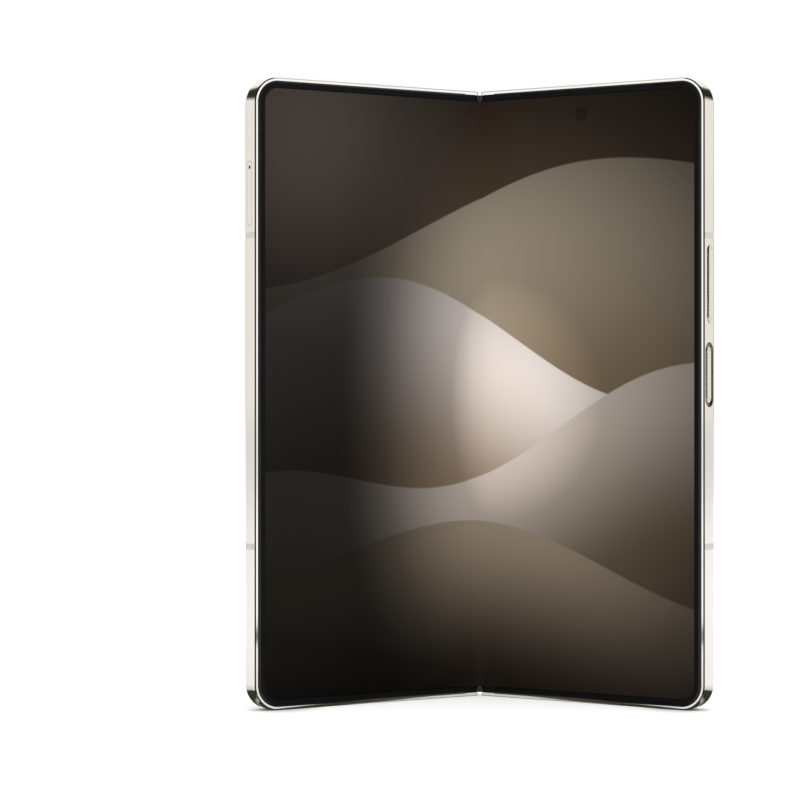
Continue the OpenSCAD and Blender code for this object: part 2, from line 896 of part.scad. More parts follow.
// Open-ended metal case that the card tray slides into
module card_reader() {
    x0 = wall_x - tray_depth - 0.6;
    color(steel)
        on_half(-1)
            difference() {
                block(
                    [x0, inner_y, tray_z - tray_len / 2 - 0.5],
                    [wall_x, tray_y1 + 0.4, tray_z + tray_len / 2 + 0.5]
                );
                block(
                    [x0 + 0.4, tray_y0 - tray_gap, tray_z - tray_len / 2 + 0.3],
                    [wall_x + 1, tray_y1 - 0.25, tray_z + tray_len / 2 - 0.3]
                );
            }
}

module cover_display() {
    color(screen)
        on_half(-1)
            difference() {
                slab(cover_panel_y, glass_y)
                    plate_outline(bar_x1 + 0.1, wall_x - 0.2, wall + 0.2, height - wall - 0.2, 2, corner_r - wall);
                pin_y(punch_r + 0.1, 0, half_depth, punch_x, punch_z);
            }
}

module cover_camera() {
    color(lens_black)
        on_half(-1)
            pin_y(punch_r, inner_y, glass_y, punch_x, punch_z);
}

module left_battery() {
    color("#4a4a50")
        on_half(-1)
            cell(cover_panel_y - 0.1, wall + 4, sub_z0 - 3);
}

// ---------------------------------------------------------------- keys and tray

// Key with a flange behind the wall; its pad reaches towards the switch
module key(z, length, top_x, flange_len, flange_gap) {
    flange_x = wall_x - flange_gap;
    translate([0, side_y, z]) {
        bar_x(flange_x - eps, top_x - 0.2)
            stadium(length, key_w);
        bar_x(top_x - 0.2 - eps, top_x)
            stadium(length - 0.4, key_w - 0.4);
        bar_x(flange_x - flange_t, flange_x)
            stadium(flange_len, flange_w);
    }
}

module power_key() {
    color(champagne)
        on_half(1)
            key(power_z, power_len, half_width - scoop_depth + 0.35, power_len + 1.4, seat_gap);
}

// The volume key rocks on a round rib across the middle of its flange
module volume_key() {
    color(champagne)
        on_half(1) {
            key(volume_z, volume_len, half_width + 0.3, rocker_flange, key_gap);
            pin_y(rib_r, side_y - flange_w / 2, side_y + flange_w / 2, rocker_x, volume_z);
        }
}

// Switch strip behind the keys, with a dome under each pressing point
module key_flex() {
    dome_x = wall_x - key_gap - flange_t - key_travel - 0.05;
    color("#8a5a2b")
        on_half(1) {
            block([flex_x - 0.3, inner_y, power_z - power_len / 2 - 1], [flex_x, side_y + 1.6, volume_z + volume_len / 2]);
            for (z = [power_z, volume_z - 2, volume_z + 2])
                translate([0, side_y, z])
                    bar_x(flex_x - eps, dome_x)
                        circle(1);
        }
}

// Face of the tray is cut from the same crowned wall as the frame
module card_tray() {
    color(cream)
        on_half(-1)
            difference() {
                union() {
                    intersection() {
                        edge_sweep(meet_gap, half_width, height, corner_r)
                            wall_section();
                        block(
                            [wall_x, tray_y0, tray_z - tray_len / 2],
                            [half_width + 1, tray_y1, tray_z + tray_len / 2]
                        );
                    }
                    block(
                        [wall_x - tray_depth, tray_y0, tray_z - tray_len / 2 + 0.5],
                        [wall_x + eps, tray_y0 + 1, tray_z + tray_len / 2 - 0.5]
                    );
                }
                // Beds of the two cards and the ejector's hole
                block(
                    [wall_x - tray_depth + 1, tray_y0 + 0.3, tray_z - 6.2],
                    [wall_x - 1, tray_y1 + 1, tray_z + 2.6]
                );
                translate([0, (tray_y0 + tray_y1) / 2, tray_z + tray_len / 2 - 1.4])
                    bar_x(wall_x - 1, half_width + 1)
                        circle(0.45);
            }
}

// ---------------------------------------------------------------- display and trim

module display_panel(side) {
    color(screen)
        on_half(side)
            slab(0, display_t)
                plate_outline(
                    bond_x, half_width - display_inset, display_inset, height - display_inset,
                    eps, corner_r - display_inset
                );
}

// Bending middle of the display: the arc of the fold and the two free stretches beside it
module display_fold() {
    color(screen)
        translate([0, shift_y, fold_z0])
            linear_extrude(height - 2 * fold_z0) {
                intersection() {
                    translate([0, fold_y])
                        difference() {
                            circle(fold_r + display_t);
                            circle(fold_r);
                        }
                    translate([0, fold_y])
                        polygon([[0, 0], polar(far, 90 - rest_tilt), polar(far, 90 + rest_tilt)]);
                }
                for (side = [-1, 1])
                    translate([side * axis_x, axis_y])
                        rotate(-side * rest_tilt)
                            translate([side > 0 ? fold_x - eps - axis_x : axis_x - bond_x, -axis_y])
                                square([bond_x - fold_x + eps, display_t]);
            }
}

// Raised black trim on three sides of the display, round on its outer edge
module bezel(side) {
    inner_x = half_width - lip_end - bezel_side;
    inner_z = lip_end + bezel_end;
    color(ink)
        on_half(side)
            difference() {
                edge_sweep(bezel_stop, half_width, height, corner_r)
                    round_edge_section(lip_end, lip_end + 3.2, -bezel_rise, 0, 0.4, -1);
                slab(-bezel_rise - 1, 1)
                    plate_outline(0, inner_x, inner_z, height - inner_z, eps, 3.8);
            }
}

module wing_plate(side) {
    color(steel)
        on_half(side)
            slab(display_t + film, display_t + film + wing_t)
                plate_outline(wing_x0, wing_x1, 3, height - 3, 0.5, 0.5);
}

// ---------------------------------------------------------------- spine

module spine_cover() {
    color(champagne)
        on_spine()
            difference() {
                translate([0, 0, spine_z0])
                    linear_extrude(height - 2 * spine_z0)
                        spine_profile(spine_r, shell_y0);
                translate([0, 0, spine_z0 - 1])
                    linear_extrude(height)
                        spine_profile(spine_in_r, 0);
                // Relief round the gears and the friction discs, and holes for the bracket screws
                both_modules() {
                    translate([0, 0, relief_z0])
                        linear_extrude(plate_2 + plate_t - relief_z0)
                            for (x = gear_x)
                                translate([x, gear_y])
                                    circle(gear_tip_r + 0.05);
                    pin_y(screw_r, spine_in_y - 1, axis_y + spine_r - 0.15, 0, bracket_screw_z);
                }
            }
}

// End pieces of the spine: a plate across its end and a tab that laps over the crease of the display
module spine_caps() {
    color(ink)
        on_spine()
            for (top = [0, 1])
                translate([0, 0, top * height])
                    mirror([0, 0, top]) {
                        translate([0, 0, spine_z0])
                            linear_extrude(cap_t)
                                spine_profile(spine_fit_r, cap_y);
                        block([-tab_half_w, tab_y0, spine_z0], [tab_half_w, cap_y + eps, fold_z0 - 0.1]);
                        slab(tab_y0, tab_y1)
                            plate_tab();
                    }
}

// Outline of the tab in front of the crease: straight sides and a round end
module plate_tab() {
    translate([-tab_half_w, spine_z0])
        square([2 * tab_half_w, 0.9]);
    translate([0, spine_z0 + 0.9])
        circle(tab_half_w);
}

// Housing of one hinge module: two bearing plates for the gears and a block with an arc rail for each half
module hinge_bracket(upper) {
    color(steel)
        on_spine()
            at_module(upper)
                difference() {
                    union() {
                        for (layer = [[0, plate_t], [plate_2, module_top]])
                            translate([0, 0, layer[0]])
                                linear_extrude(layer[1] - layer[0])
                                    spine_profile(spine_fit_r, block_y);
                        for (side = [-1, 1])
                            block(
                                [side > 0 ? post_x : -post_x - post_w, block_y, 0],
                                [side > 0 ? post_x + post_w : -post_x, post_y1, plate_2 + eps]
                            );
                    }
                    for (x = gear_x)
                        translate([x, gear_y, -1])
                            cylinder(r = shaft_r + run_gap, h = plate_2 + plate_t + 1 + eps);
                    arc_slot(1, layer_d - layer_gap);
                    arc_slot(-1, layer_e - layer_gap);
                    pin_y(screw_r, block_y - 1, spine_in_y + 1, 0, bracket_screw_z);
                    pin_y(screw_head_r + run_gap, block_y - 1, block_y + 0.6, 0, bracket_screw_z);
                }
}

// Slot that guides the arc tongue of one half
module arc_slot(side, z) {
    translate([side * axis_x, axis_y, z])
        linear_extrude(tongue_t + 2 * layer_gap)
            difference() {
                circle(tongue_r1 + run_gap);
                circle(tongue_r0 - run_gap);
            }
}

// Arm that joins one half to the spine: a toothed sector and an arc tongue on a mounting plate.
// Drawn for the right half; the left half's arms lie in the next layers.
module rotator(side, upper) {
    sector_z = side > 0 ? layer_a : layer_b;
    tongue_z = side > 0 ? layer_d : layer_e;
    phase = side > 0 ? right_sector_phase + rest_tilt : 180 - left_sector_phase + rest_tilt;
    color("#8f8f8a")
        on_half(side)
            at_module(upper)
                difference() {
                    union() {
                        translate([axis_x, axis_y, sector_z])
                            linear_extrude(gear_face)
                                polygon(sector_points(phase));
                        block([axis_x, arm_y0, sector_z], [bar_x0 + 0.2, arm_y1, sector_z + gear_face]);
                        translate([axis_x, axis_y, tongue_z])
                            linear_extrude(tongue_t)
                                intersection() {
                                    difference() {
                                        circle(tongue_r1);
                                        circle(tongue_r0);
                                    }
                                    polygon([
                                        [0, 0], [far, 0], [far, far], [0, far],
                                        polar(far, tongue_end)
                                    ]);
                                }
                        block(
                            [axis_x + (tongue_r0 + tongue_r1) / 2, arm_y0, tongue_z],
                            [bar_x0 + 0.2, arm_y1, tongue_z + tongue_t]
                        );
                        block([bar_x0 + 0.1, arm_y0, seat_z0], [seat_x1, arm_y1, seat_z1]);
                    }
                    for (z = screw_z) {
                        pin_y(screw_r, 0, arm_y1 + 1, screw_x, z);
                        pin_y(screw_head_r + run_gap, 0, arm_y0 + head_t, screw_x, z);
                    }
                }
}

// Screws that hold the rotators of one half on their seats
module hinge_screws(side) {
    color(steel)
        on_half(side)
            both_modules()
                for (z = screw_z) {
                    pin_y(screw_r, arm_y0 + head_t - eps, arm_y1 + seat_t - 0.1, screw_x, z);
                    pin_y(screw_head_r, arm_y0, arm_y0 + head_t, screw_x, z);
                }
}

module bracket_screws() {
    color(steel)
        on_spine()
            both_modules() {
                pin_y(screw_r, block_y + 0.1, axis_y + spine_r - 0.2, 0, bracket_screw_z);
                pin_y(screw_head_r, block_y + 0.05, block_y + 0.6, 0, bracket_screw_z);
            }
}

// Toothed wheel on its shaft. Pinions run over all three gear layers and carry the friction discs.
module hinge_gear(i, upper) {
    pinion = i == 0 || i == 3;
    z0 = pinion ? layer_a : layer_c;
    tail = pinion ? disc_stack + nut_t + 0.1 : -0.1;
    color("#a9a294")
        on_spine()
            at_module(upper)
                translate([gear_x[i], gear_y, 0]) {
                    translate([0, 0, z0])
                        linear_extrude(layer_c + gear_face - z0)
                            polygon(wheel_points(pinion_teeth, gear_phase[i]));
                    translate([0, 0, -tail])
                        cylinder(r = shaft_r, h = plate_2 + plate_t - 0.1 + tail);
                    if (pinion)
                        translate([0, 0, -tail])
                            cylinder(r = nut_r, h = nut_t);
                }
}

// Stacks of conical spring discs that press on the pinion shafts and give the hinge its hold
module friction_discs() {
    pitch = disc_stack / 8;
    color(steel)
        on_spine()
            both_modules()
                for (x = [gear_x[0], gear_x[3]], i = [0:7])
                    translate([x, gear_y, -(i + 1) * pitch])
                        rotate_extrude()
                            polygon(
                                i % 2 == 0
                                    ? [[disc_in, 0], [disc_out, 0.2], [disc_out, pitch], [disc_in, 0.3]]
                                    : [[disc_in, 0.2], [disc_out, 0], [disc_out, 0.3], [disc_in, pitch]]
                            );
}

// Flat cable from one half to the other, hanging in a shallow loop through the spine
module hinge_flex() {
    end_x = cell_x0 - 1;
    run = flex_x0 - axis_x;
    rise = inner_y + 0.2 - axis_y;
    bend_x = axis_x + run * cos(rest_tilt) + rise * sin(rest_tilt);
    bend_y = axis_y - run * sin(rest_tilt) + rise * cos(rest_tilt);
    loop_x = [for (i = [-8:8]) bend_x * i / 8];
    function loop_y(x) = bend_y + tan(rest_tilt) / (2 * bend_x) * (bend_x * bend_x - x * x);
    color("#8a5a2b")
        translate([0, shift_y, flex_z0])
            linear_extrude(flex_z1 - flex_z0) {
                for (side = [-1, 1])
                    translate([side * axis_x, axis_y])
                        rotate(-side * rest_tilt)
                            translate([side > 0 ? run - eps : -end_x + axis_x, rise])
                                square([end_x - flex_x0 + eps, flex_t]);
                polygon(concat(
                    [for (x = loop_x) [x, loop_y(x)]],
                    [for (i = [8:-1:-8]) [bend_x * i / 8, loop_y(bend_x * i / 8) + flex_t]]
                ));
            }
}

// ---------------------------------------------------------------- assembly

right_frame();
antenna_bands(1);  // right_antenna_bands
right_back_glass();
camera_plateau();
camera_ring(0);  // camera_ring_upper
camera_ring(1);  // camera_ring_middle
camera_ring(2);  // camera_ring_lower
camera_glasses();
camera(0);  // camera_upper
camera(1);  // camera_middle
camera(2);  // camera_lower
flash_lens();
right_battery();
charging_coil();
main_board();
usb_port();
bottom_speaker();
haptic_motor();
key_flex();
power_key();
volume_key();
inner_camera();
bezel(1);  // right_bezel
display_panel(1);  // right_display
wing_plate(1);  // right_wing_plate
rotator(1, false);  // lower_right_rotator
rotator(1, true);  // upper_right_rotator
hinge_screws(1);  // right_hinge_screws
left_frame();
antenna_bands(-1);  // left_antenna_bands
cover_glass();
cover_display();
cover_camera();
left_battery();
sub_board();
top_speaker();
card_reader();
card_tray();
bezel(-1);  // left_bezel
display_panel(-1);  // left_display
wing_plate(-1);  // left_wing_plate
rotator(-1, false);  // lower_left_rotator
rotator(-1, true);  // upper_left_rotator
hinge_screws(-1);  // left_hinge_screws
spine_cover();
spine_caps();
hinge_bracket(false);  // lower_hinge_bracket
hinge_bracket(true);  // upper_hinge_bracket
bracket_screws();
friction_discs();
display_fold();
hinge_flex();
hinge_gear(0, false);  // lower_left_pinion
hinge_gear(1, false);  // lower_left_idler
hinge_gear(2, false);  // lower_right_idler
hinge_gear(3, false);  // lower_right_pinion
hinge_gear(0, true);  // upper_left_pinion
hinge_gear(1, true);  // upper_left_idler
hinge_gear(2, true);  // upper_right_idler
hinge_gear(3, true);  // upper_right_pinion
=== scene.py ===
"""Looks of a book-style foldable phone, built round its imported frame.

Every new piece is modelled on a half that lies flat: x runs from the hinge line to the outer side, y from the
inner display to the back glass and z from the bottom edge to the top edge. Stance then puts it where that half
stands at rest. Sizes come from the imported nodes, read in the same flat frame, so pieces sit where the nodes are.
Lengths are in metres unless a docstring says millimetres.
"""

from __future__ import annotations

import json
import logging
import math
from collections.abc import Callable, Iterator
from contextlib import contextmanager
from dataclasses import dataclass, field
from enum import Enum, IntEnum
from functools import partial
from typing import Any

import bmesh
import bpy
from mathutils import Matrix, Vector


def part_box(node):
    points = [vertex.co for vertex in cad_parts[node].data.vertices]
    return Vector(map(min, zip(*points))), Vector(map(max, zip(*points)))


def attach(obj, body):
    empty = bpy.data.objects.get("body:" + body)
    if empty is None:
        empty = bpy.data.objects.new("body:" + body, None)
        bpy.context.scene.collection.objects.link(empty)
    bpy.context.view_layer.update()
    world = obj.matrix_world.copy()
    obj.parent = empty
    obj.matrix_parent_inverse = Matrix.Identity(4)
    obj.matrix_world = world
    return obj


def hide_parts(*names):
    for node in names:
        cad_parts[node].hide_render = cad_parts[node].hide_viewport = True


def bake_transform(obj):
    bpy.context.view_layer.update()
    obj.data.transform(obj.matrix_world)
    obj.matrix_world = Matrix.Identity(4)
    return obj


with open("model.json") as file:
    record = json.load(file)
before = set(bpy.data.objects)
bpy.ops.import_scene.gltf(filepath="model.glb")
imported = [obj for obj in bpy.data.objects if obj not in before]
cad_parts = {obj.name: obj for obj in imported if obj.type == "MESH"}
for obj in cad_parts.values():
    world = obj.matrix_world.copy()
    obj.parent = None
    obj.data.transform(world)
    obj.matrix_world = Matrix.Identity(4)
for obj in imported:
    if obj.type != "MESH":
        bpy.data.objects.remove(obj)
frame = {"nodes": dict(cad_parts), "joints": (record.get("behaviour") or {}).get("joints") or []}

LOG = logging.getLogger("foldable_phone")
MM = 0.001
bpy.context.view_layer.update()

Object = bpy.types.Object
Socket = bpy.types.NodeSocket
Adder = Callable[..., Any]
Profile = list[tuple[float, float]]

# Two lengths that differ by less are the same, and vertices of a new mesh that are closer are merged
SAME = 1e-6
WELD = 1e-7
# Edges of a rim are sharper than this
SHARP = math.radians(50)
# Share of a plate's half width that its corners take, so that a short flat is left between two of them
ROUND = 0.99


# ---------------------------------------------------------------- placing


class Half(Enum):
    """The two halves of the phone, by the side of the hinge on which they lie."""

    LEFT = -1
    RIGHT = 1

    @property
    def word(self) -> str:
        """Word that the half's node names begin with."""
        return self.name.lower()

    @property
    def body(self) -> str:
        """Name of the body that the half's pieces ride on."""
        return f"{self.word}_half"


@dataclass(frozen=True)
class Stance:
    """Where a half stands at rest, as a turn about its own hinge axis."""

    axis_x: float  # Distance of the axis from the middle
    row_y: float  # Depth of the axis in the row frame
    axis_y: float = 1.275 * MM  # Depth of the axis behind the front of a flat half
    tilt: float = math.radians(32)  # Angle of a half from flat, in radians

    def matrix(self, half: Half) -> Matrix:
        """Matrix from the flat frame of a half to the row frame.

        Args:
            half: Half whose flat frame is meant.

        Returns:
            The matrix.
        """
        side = half.value
        flip = Matrix.Diagonal((side, 1, 1, 1))
        to_axis = Matrix.Translation((-side * self.axis_x, -self.axis_y, 0))
        turn = Matrix.Rotation(-side * self.tilt, 4, "Z")
        return Matrix.Translation((side * self.axis_x, self.row_y, 0)) @ turn @ to_axis @ flip


@dataclass(frozen=True)
class Outline:
    """Outline of a half in x and z, with two round corners on its outer side."""

    width: float = 64.95 * MM  # Width from the hinge line
    height: float = 154.9 * MM  # Height
    corner: float = 6.4 * MM  # Radius of the two corners

    def measure(self, x: float, z: float) -> tuple[float, Vector]:
        """How far a point lies inside the outline, not counting the hinge side, and the way out.

        Args:
            x: Distance from the hinge line.
            z: Height.

        Returns:
            The distance to the outline, and the direction that points out of it there.
        """
        side, end = self.width - x, min(z, self.height - z)
        up = 1 if z > self.height / 2 else -1
        if side < self.corner and end < self.corner:
            way = Vector((self.corner - side, 0, up * (self.corner - end)))
            return self.corner - way.length, way.normalized()
        return min(side, end), Vector((1, 0, 0)) if side < end else Vector((0, 0, up))


FOLD = next(joint["pos_m"] for joint in frame["joints"] if joint["name"] == "right_fold")
STANCE = Stance(FOLD[0], FOLD[1])
OUTLINE = Outline()


# ---------------------------------------------------------------- modelling by hand


class Pick(Enum):
    """What an operator acts on in edit mode, with its name in a bmesh."""

    VERT = "verts"
    EDGE = "edges"
    FACE = "faces"


def pick_only(piece: Object) -> None:
    """Selects one object and nothing else, and makes it active.

    Args:
        piece: The object.
    """
    bpy.ops.object.select_all(action="DESELECT")
    piece.select_set(True)
    bpy.context.view_layer.objects.active = piece


@contextmanager
def editing(piece: Object) -> Iterator[None]:
    """Keeps a piece in edit mode for the lines of a with block.

    Args:
        piece: Object to edit.
    """
    pick_only(piece)
    bpy.ops.object.mode_set(mode="EDIT")
    yield
    bpy.ops.object.mode_set(mode="OBJECT")


def choose(piece: Object, kind: Pick, test: Callable[[Any], bool]) -> None:
    """Selects in edit mode what passes a test.

    Args:
        piece: Object in edit mode.
        kind: Vertices, edges or faces.
        test: Says whether one of them is to be selected.
    """
    bpy.ops.mesh.select_mode(type=kind.name)
    bpy.ops.mesh.select_all(action="DESELECT")
    mesh = bmesh.from_edit_mesh(piece.data)
    for item in getattr(mesh, kind.value):
        item.select_set(test(item))
    mesh.select_flush_mode()
    bmesh.update_edit_mesh(piece.data)


def weld(threshold: float) -> None:
    """Selects all in edit mode and merges the vertices that are closer than a threshold."""
    bpy.ops.mesh.select_all(action="SELECT")
    bpy.ops.mesh.remove_doubles(threshold=threshold)


def face_out() -> None:
    """Selects all in edit mode and turns the normals outwards."""
    bpy.ops.mesh.select_all(action="SELECT")
    bpy.ops.mesh.normals_make_consistent(inside=False)


def grow(offset: Vector | tuple[float, float, float]) -> None:
    """Extrudes what is selected in edit mode by an offset."""
    bpy.ops.mesh.extrude_region_move(TRANSFORM_OT_translate={"value": tuple(offset)})


def at_depth(edge: bmesh.types.BMEdge, y: float) -> bool:
    """True if both ends of an edge lie at one depth."""
    return all(abs(vertex.co.y - y) < SAME for vertex in edge.verts)


def bevel_rim(
    piece: Object, test: Callable[[bmesh.types.BMEdge], bool], width: float, segments: int, profile: float = 0.5
) -> None:
    """Rounds the sharp edges that pass a test.

    Args:
        piece: Piece with the edges.
        test: Says whether an edge is one of the rim.
        width: Width of the bevel.
        segments: Segments of the bevel.
        profile: Roundness of the bevel, 0.5 for a part of a circle and 0.25 for a flat.
    """
    with editing(piece):
        choose(
            piece, Pick.EDGE,
            lambda edge: len(edge.link_faces) == 2 and edge.calc_face_angle(0) > SHARP and test(edge),
        )
        bpy.ops.mesh.bevel(offset=width, segments=segments, profile=profile, affect="EDGES", clamp_overlap=True)


def apply_place(piece: Object) -> None:
    """Moves an object's place, turn and scale into its mesh."""
    pick_only(piece)
    bpy.ops.object.transform_apply(location=True, rotation=True, scale=True)


def start_with(primitive: Callable[..., Any], name: str, scale: tuple[float, float, float], **settings: Any) -> Object:
    """Adds a primitive with nothing else selected, and moves its place into its mesh.

    Args:
        primitive: Operator that adds it.
        name: Name of the piece.
        scale: Scale along its own axes.
        **settings: What the operator is given.

    Returns:
        The new piece.
    """
    bpy.ops.object.select_all(action="DESELECT")
    primitive(**settings)
    piece = bpy.context.object
    piece.name, piece.scale = name, scale
    apply_place(piece)
    return piece


def run_modifier(piece: Object, kind: str, **settings: Any) -> None:
    """Adds a modifier with its settings and applies it.

    Args:
        piece: Object that gets the modifier.
        kind: Blender's name of the modifier.
        **settings: Its properties.
    """
    pick_only(piece)
    modifier = piece.modifiers.new(kind.title(), kind)
    for name, value in settings.items():
        setattr(modifier, name, value)
    bpy.ops.object.modifier_apply(modifier=modifier.name)


def cut(piece: Object, cutter: Object) -> None:
    """Takes a cutter's shape out of a piece and removes the cutter."""
    run_modifier(piece, "BOOLEAN", operation="DIFFERENCE", solver="EXACT", object=cutter)
    bpy.data.objects.remove(cutter)


def make_sheet(piece: Object, thickness: float, **settings: Any) -> None:
    """Turns an open surface to the front and gives it its thickness behind.

    Args:
        piece: Open surface.
        thickness: Thickness of the sheet.
        **settings: Further properties of the Solidify modifier.
    """
    if sum(face.normal.y for face in piece.data.polygons) > 0:
        with editing(piece):
            bpy.ops.mesh.select_all(action="SELECT")
            bpy.ops.mesh.flip_normals()
    run_modifier(piece, "SOLIDIFY", thickness=thickness, offset=-1.0, use_even_offset=True, use_rim=True, **settings)


def round_plate(name: str, low: Vector, high: Vector, inner_r: float, outer_r: float, segments: int) -> Object:
    """Plate in x and z with rounded corners, as thick as its two corners say.

    Args:
        name: Name of the piece.
        low: Lowest corner.
        high: Highest corner.
        inner_r: Radius of the two corners at the low x.
        outer_r: Radius of the two corners at the high x.
        segments: Segments of each corner.

    Returns:
        The plate, closed and with its place in its mesh.
    """
    size, centre = high - low, (low + high) / 2
    piece = start_with(
        bpy.ops.mesh.primitive_plane_add, name, (size.x, size.z, 1), size=1,
        location=(centre.x, low.y, centre.z), rotation=(math.pi / 2, 0, 0),
    )
    with editing(piece):
        for x, radius in ((low.x, inner_r), (high.x, outer_r)):
            if radius > 0:
                choose(piece, Pick.VERT, lambda vertex, x=x: abs(vertex.co.x - x) < SAME)
                bpy.ops.mesh.bevel(offset=radius, segments=segments, affect="VERTICES")
        weld(WELD)
        grow((0, size.y, 0))
        face_out()
    return piece


def turned(name: str, centre: Vector, profile: Profile, closed: bool = False, vertices: int = 72) -> Object:
    """Turned piece with its axis along y, drawn ring by ring as on a lathe.

    Args:
        name: Name of the piece.
        centre: Point on its axis, at depth 0 of the profile.
        profile: Radius and depth of each ring, in millimetres. A radius of 0 closes the piece.
        closed: True if the last ring joins the first, as on a ring with a bore.
        vertices: Vertices of each ring.

    Returns:
        The piece, with its normals outwards.
    """
    (radius, depth), *rings = [(ring_r * MM, ring_y * MM) for ring_r, ring_y in profile]
    piece = start_with(
        bpy.ops.mesh.primitive_circle_add, name, (1, 1, 1), vertices=vertices, radius=radius,
        fill_type="NOTHING" if closed else "NGON", location=(centre.x, centre.y + depth, centre.z),
        rotation=(math.pi / 2, 0, 0),
    )
    with editing(piece):
        choose(piece, Pick.EDGE, lambda edge: True)
        for next_radius, next_depth in rings:
            grow((0, next_depth - depth, 0))
            if next_radius == 0:
                bpy.ops.mesh.merge(type="CENTER")
            else:
                scale = next_radius / radius
                bpy.ops.transform.resize(value=(scale, 1, scale))
            radius, depth = next_radius, next_depth
        if closed:
            choose(piece, Pick.EDGE, lambda edge: len(edge.link_faces) == 1)
            bpy.ops.mesh.bridge_edge_loops()
        face_out()
    return piece


def copy_of_node(node: str, name: str) -> Object:
    """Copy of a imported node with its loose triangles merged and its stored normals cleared.

    Args:
        node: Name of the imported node.
        name: Name of the copy.

    Returns:
        The copy, in its place.
    """
    piece = bpy.data.objects.new(name, frame["nodes"][node].data.copy())
    bpy.context.scene.collection.objects.link(piece)
    piece.data.materials.clear()
    with editing(piece):
        weld(SAME)
    bpy.ops.mesh.customdata_custom_splitnormals_clear()
    return piece


def lay_uv(piece: Object, place: Callable[[Vector], tuple[float, float]]) -> None:
    """Gives a piece a UV map named sheet, in millimetres.

    Args:
        piece: Finished mesh.
        place: Map coordinates of a vertex, from its place.
    """
    mesh = piece.data
    layer = mesh.uv_layers.get("sheet") or mesh.uv_layers.new(name="sheet")
    for loop in mesh.loops:
        layer.data[loop.index].uv = place(mesh.vertices[loop.vertex_index].co)


# ---------------------------------------------------------------- finishes

# Most values of a noise pattern lie between these two
NOISE_RANGE = (0.35, 0.7)
# Nodes that are set up alike wherever they are used: Blender's name, the properties, the inputs that the values go to
# in order, and the output that is wanted. Ease is a soft step from 0 at its first limit to 1 at its second one
SETUPS: dict[str, tuple[str, dict[str, str], tuple[int, ...], int]] = {
    "Length": ("VectorMath", {"operation": "LENGTH"}, (0,), 1),
    "Ease": ("MapRange", {"interpolation_type": "SMOOTHSTEP"}, (0, 1, 2), 0),
    "Blend": ("Mix", {"data_type": "RGBA"}, (0, 6, 7), 2),
}


def linear(code: str) -> tuple[float, float, float, float]:
    """Turns an sRGB hex code into a linear colour.

    Args:
        code: Six hex digits after a hash sign.

    Returns:
        Red, green, blue and an alpha of 1.
    """
    parts = [int(code[i : i + 2], 16) / 255 for i in (1, 3, 5)]
    return (*[c / 12.92 if c <= 0.04045 else ((c + 0.055) / 1.055) ** 2.4 for c in parts], 1.0)


def add_node(tree: bpy.types.NodeTree, kind: str, *values: Any, out: str | int | None = -1, **settings: Any) -> Any:
    """Adds a node, sets it up and links it.

    Args:
        tree: Node tree that gets the node.
        kind: Blender's name of the node without ShaderNode, one of SETUPS, or in capitals what a Math node does.
        *values: Its inputs in order, each a socket, a hex colour or a plain value.
        out: Output that is wanted, by its name or number, the usual one if left out, or None for the node.
        **settings: Properties of the node. One named in_NAME is an input instead, and stops are the places and
            hex colours of a colour ramp.

    Returns:
        The output socket, or the node.
    """
    maths = {"operation": kind} if kind.isupper() else {}
    kind, preset, places, usual = SETUPS.get(kind, ("Math" if maths else kind, maths, range(len(values)), 0))
    node = tree.nodes.new(f"ShaderNode{kind}")
    for key, value in [*zip(places, values), *preset.items(), *settings.items()]:
        if key == "stops":
            elements = node.color_ramp.elements
            for _ in value[2:]:
                elements.new(1.0)
            for element, (place, code) in zip(elements, value):
                element.position, element.color = place, linear(code)
        elif isinstance(key, str) and not key.startswith("in_"):
            setattr(node, key, value)
        else:
            socket = node.inputs[key if isinstance(key, int) else key[3:].replace("_", " ")]
            if isinstance(value, Socket):
                tree.links.new(value, socket)
            else:
                socket.default_value = linear(value) if isinstance(value, str) else value
    return node if out is None else node.outputs[usual if out == -1 else out]


def material_of(finish: Any) -> bpy.types.Material:
    """The Blender material of a finish, made on first use.

    Args:
        finish: Finish with a name and a paint method, which is given add_node for the material's tree and returns
            the shader's output.

    Returns:
        The material.
    """
    made = bpy.data.materials.get(finish.name)
    if made is None:
        made = bpy.data.materials.new(finish.name)
        made.use_nodes = True
        made.node_tree.nodes.clear()
        add = partial(add_node, made.node_tree)
        add("OutputMaterial", finish.paint(add), out=None)
    return made


class Grain(Enum):
    """How a surface was made, with how far that stretches the pattern of its bump along the height."""

    BLASTED = 1.0
    BRUSHED = 0.03
    POLISHED = None


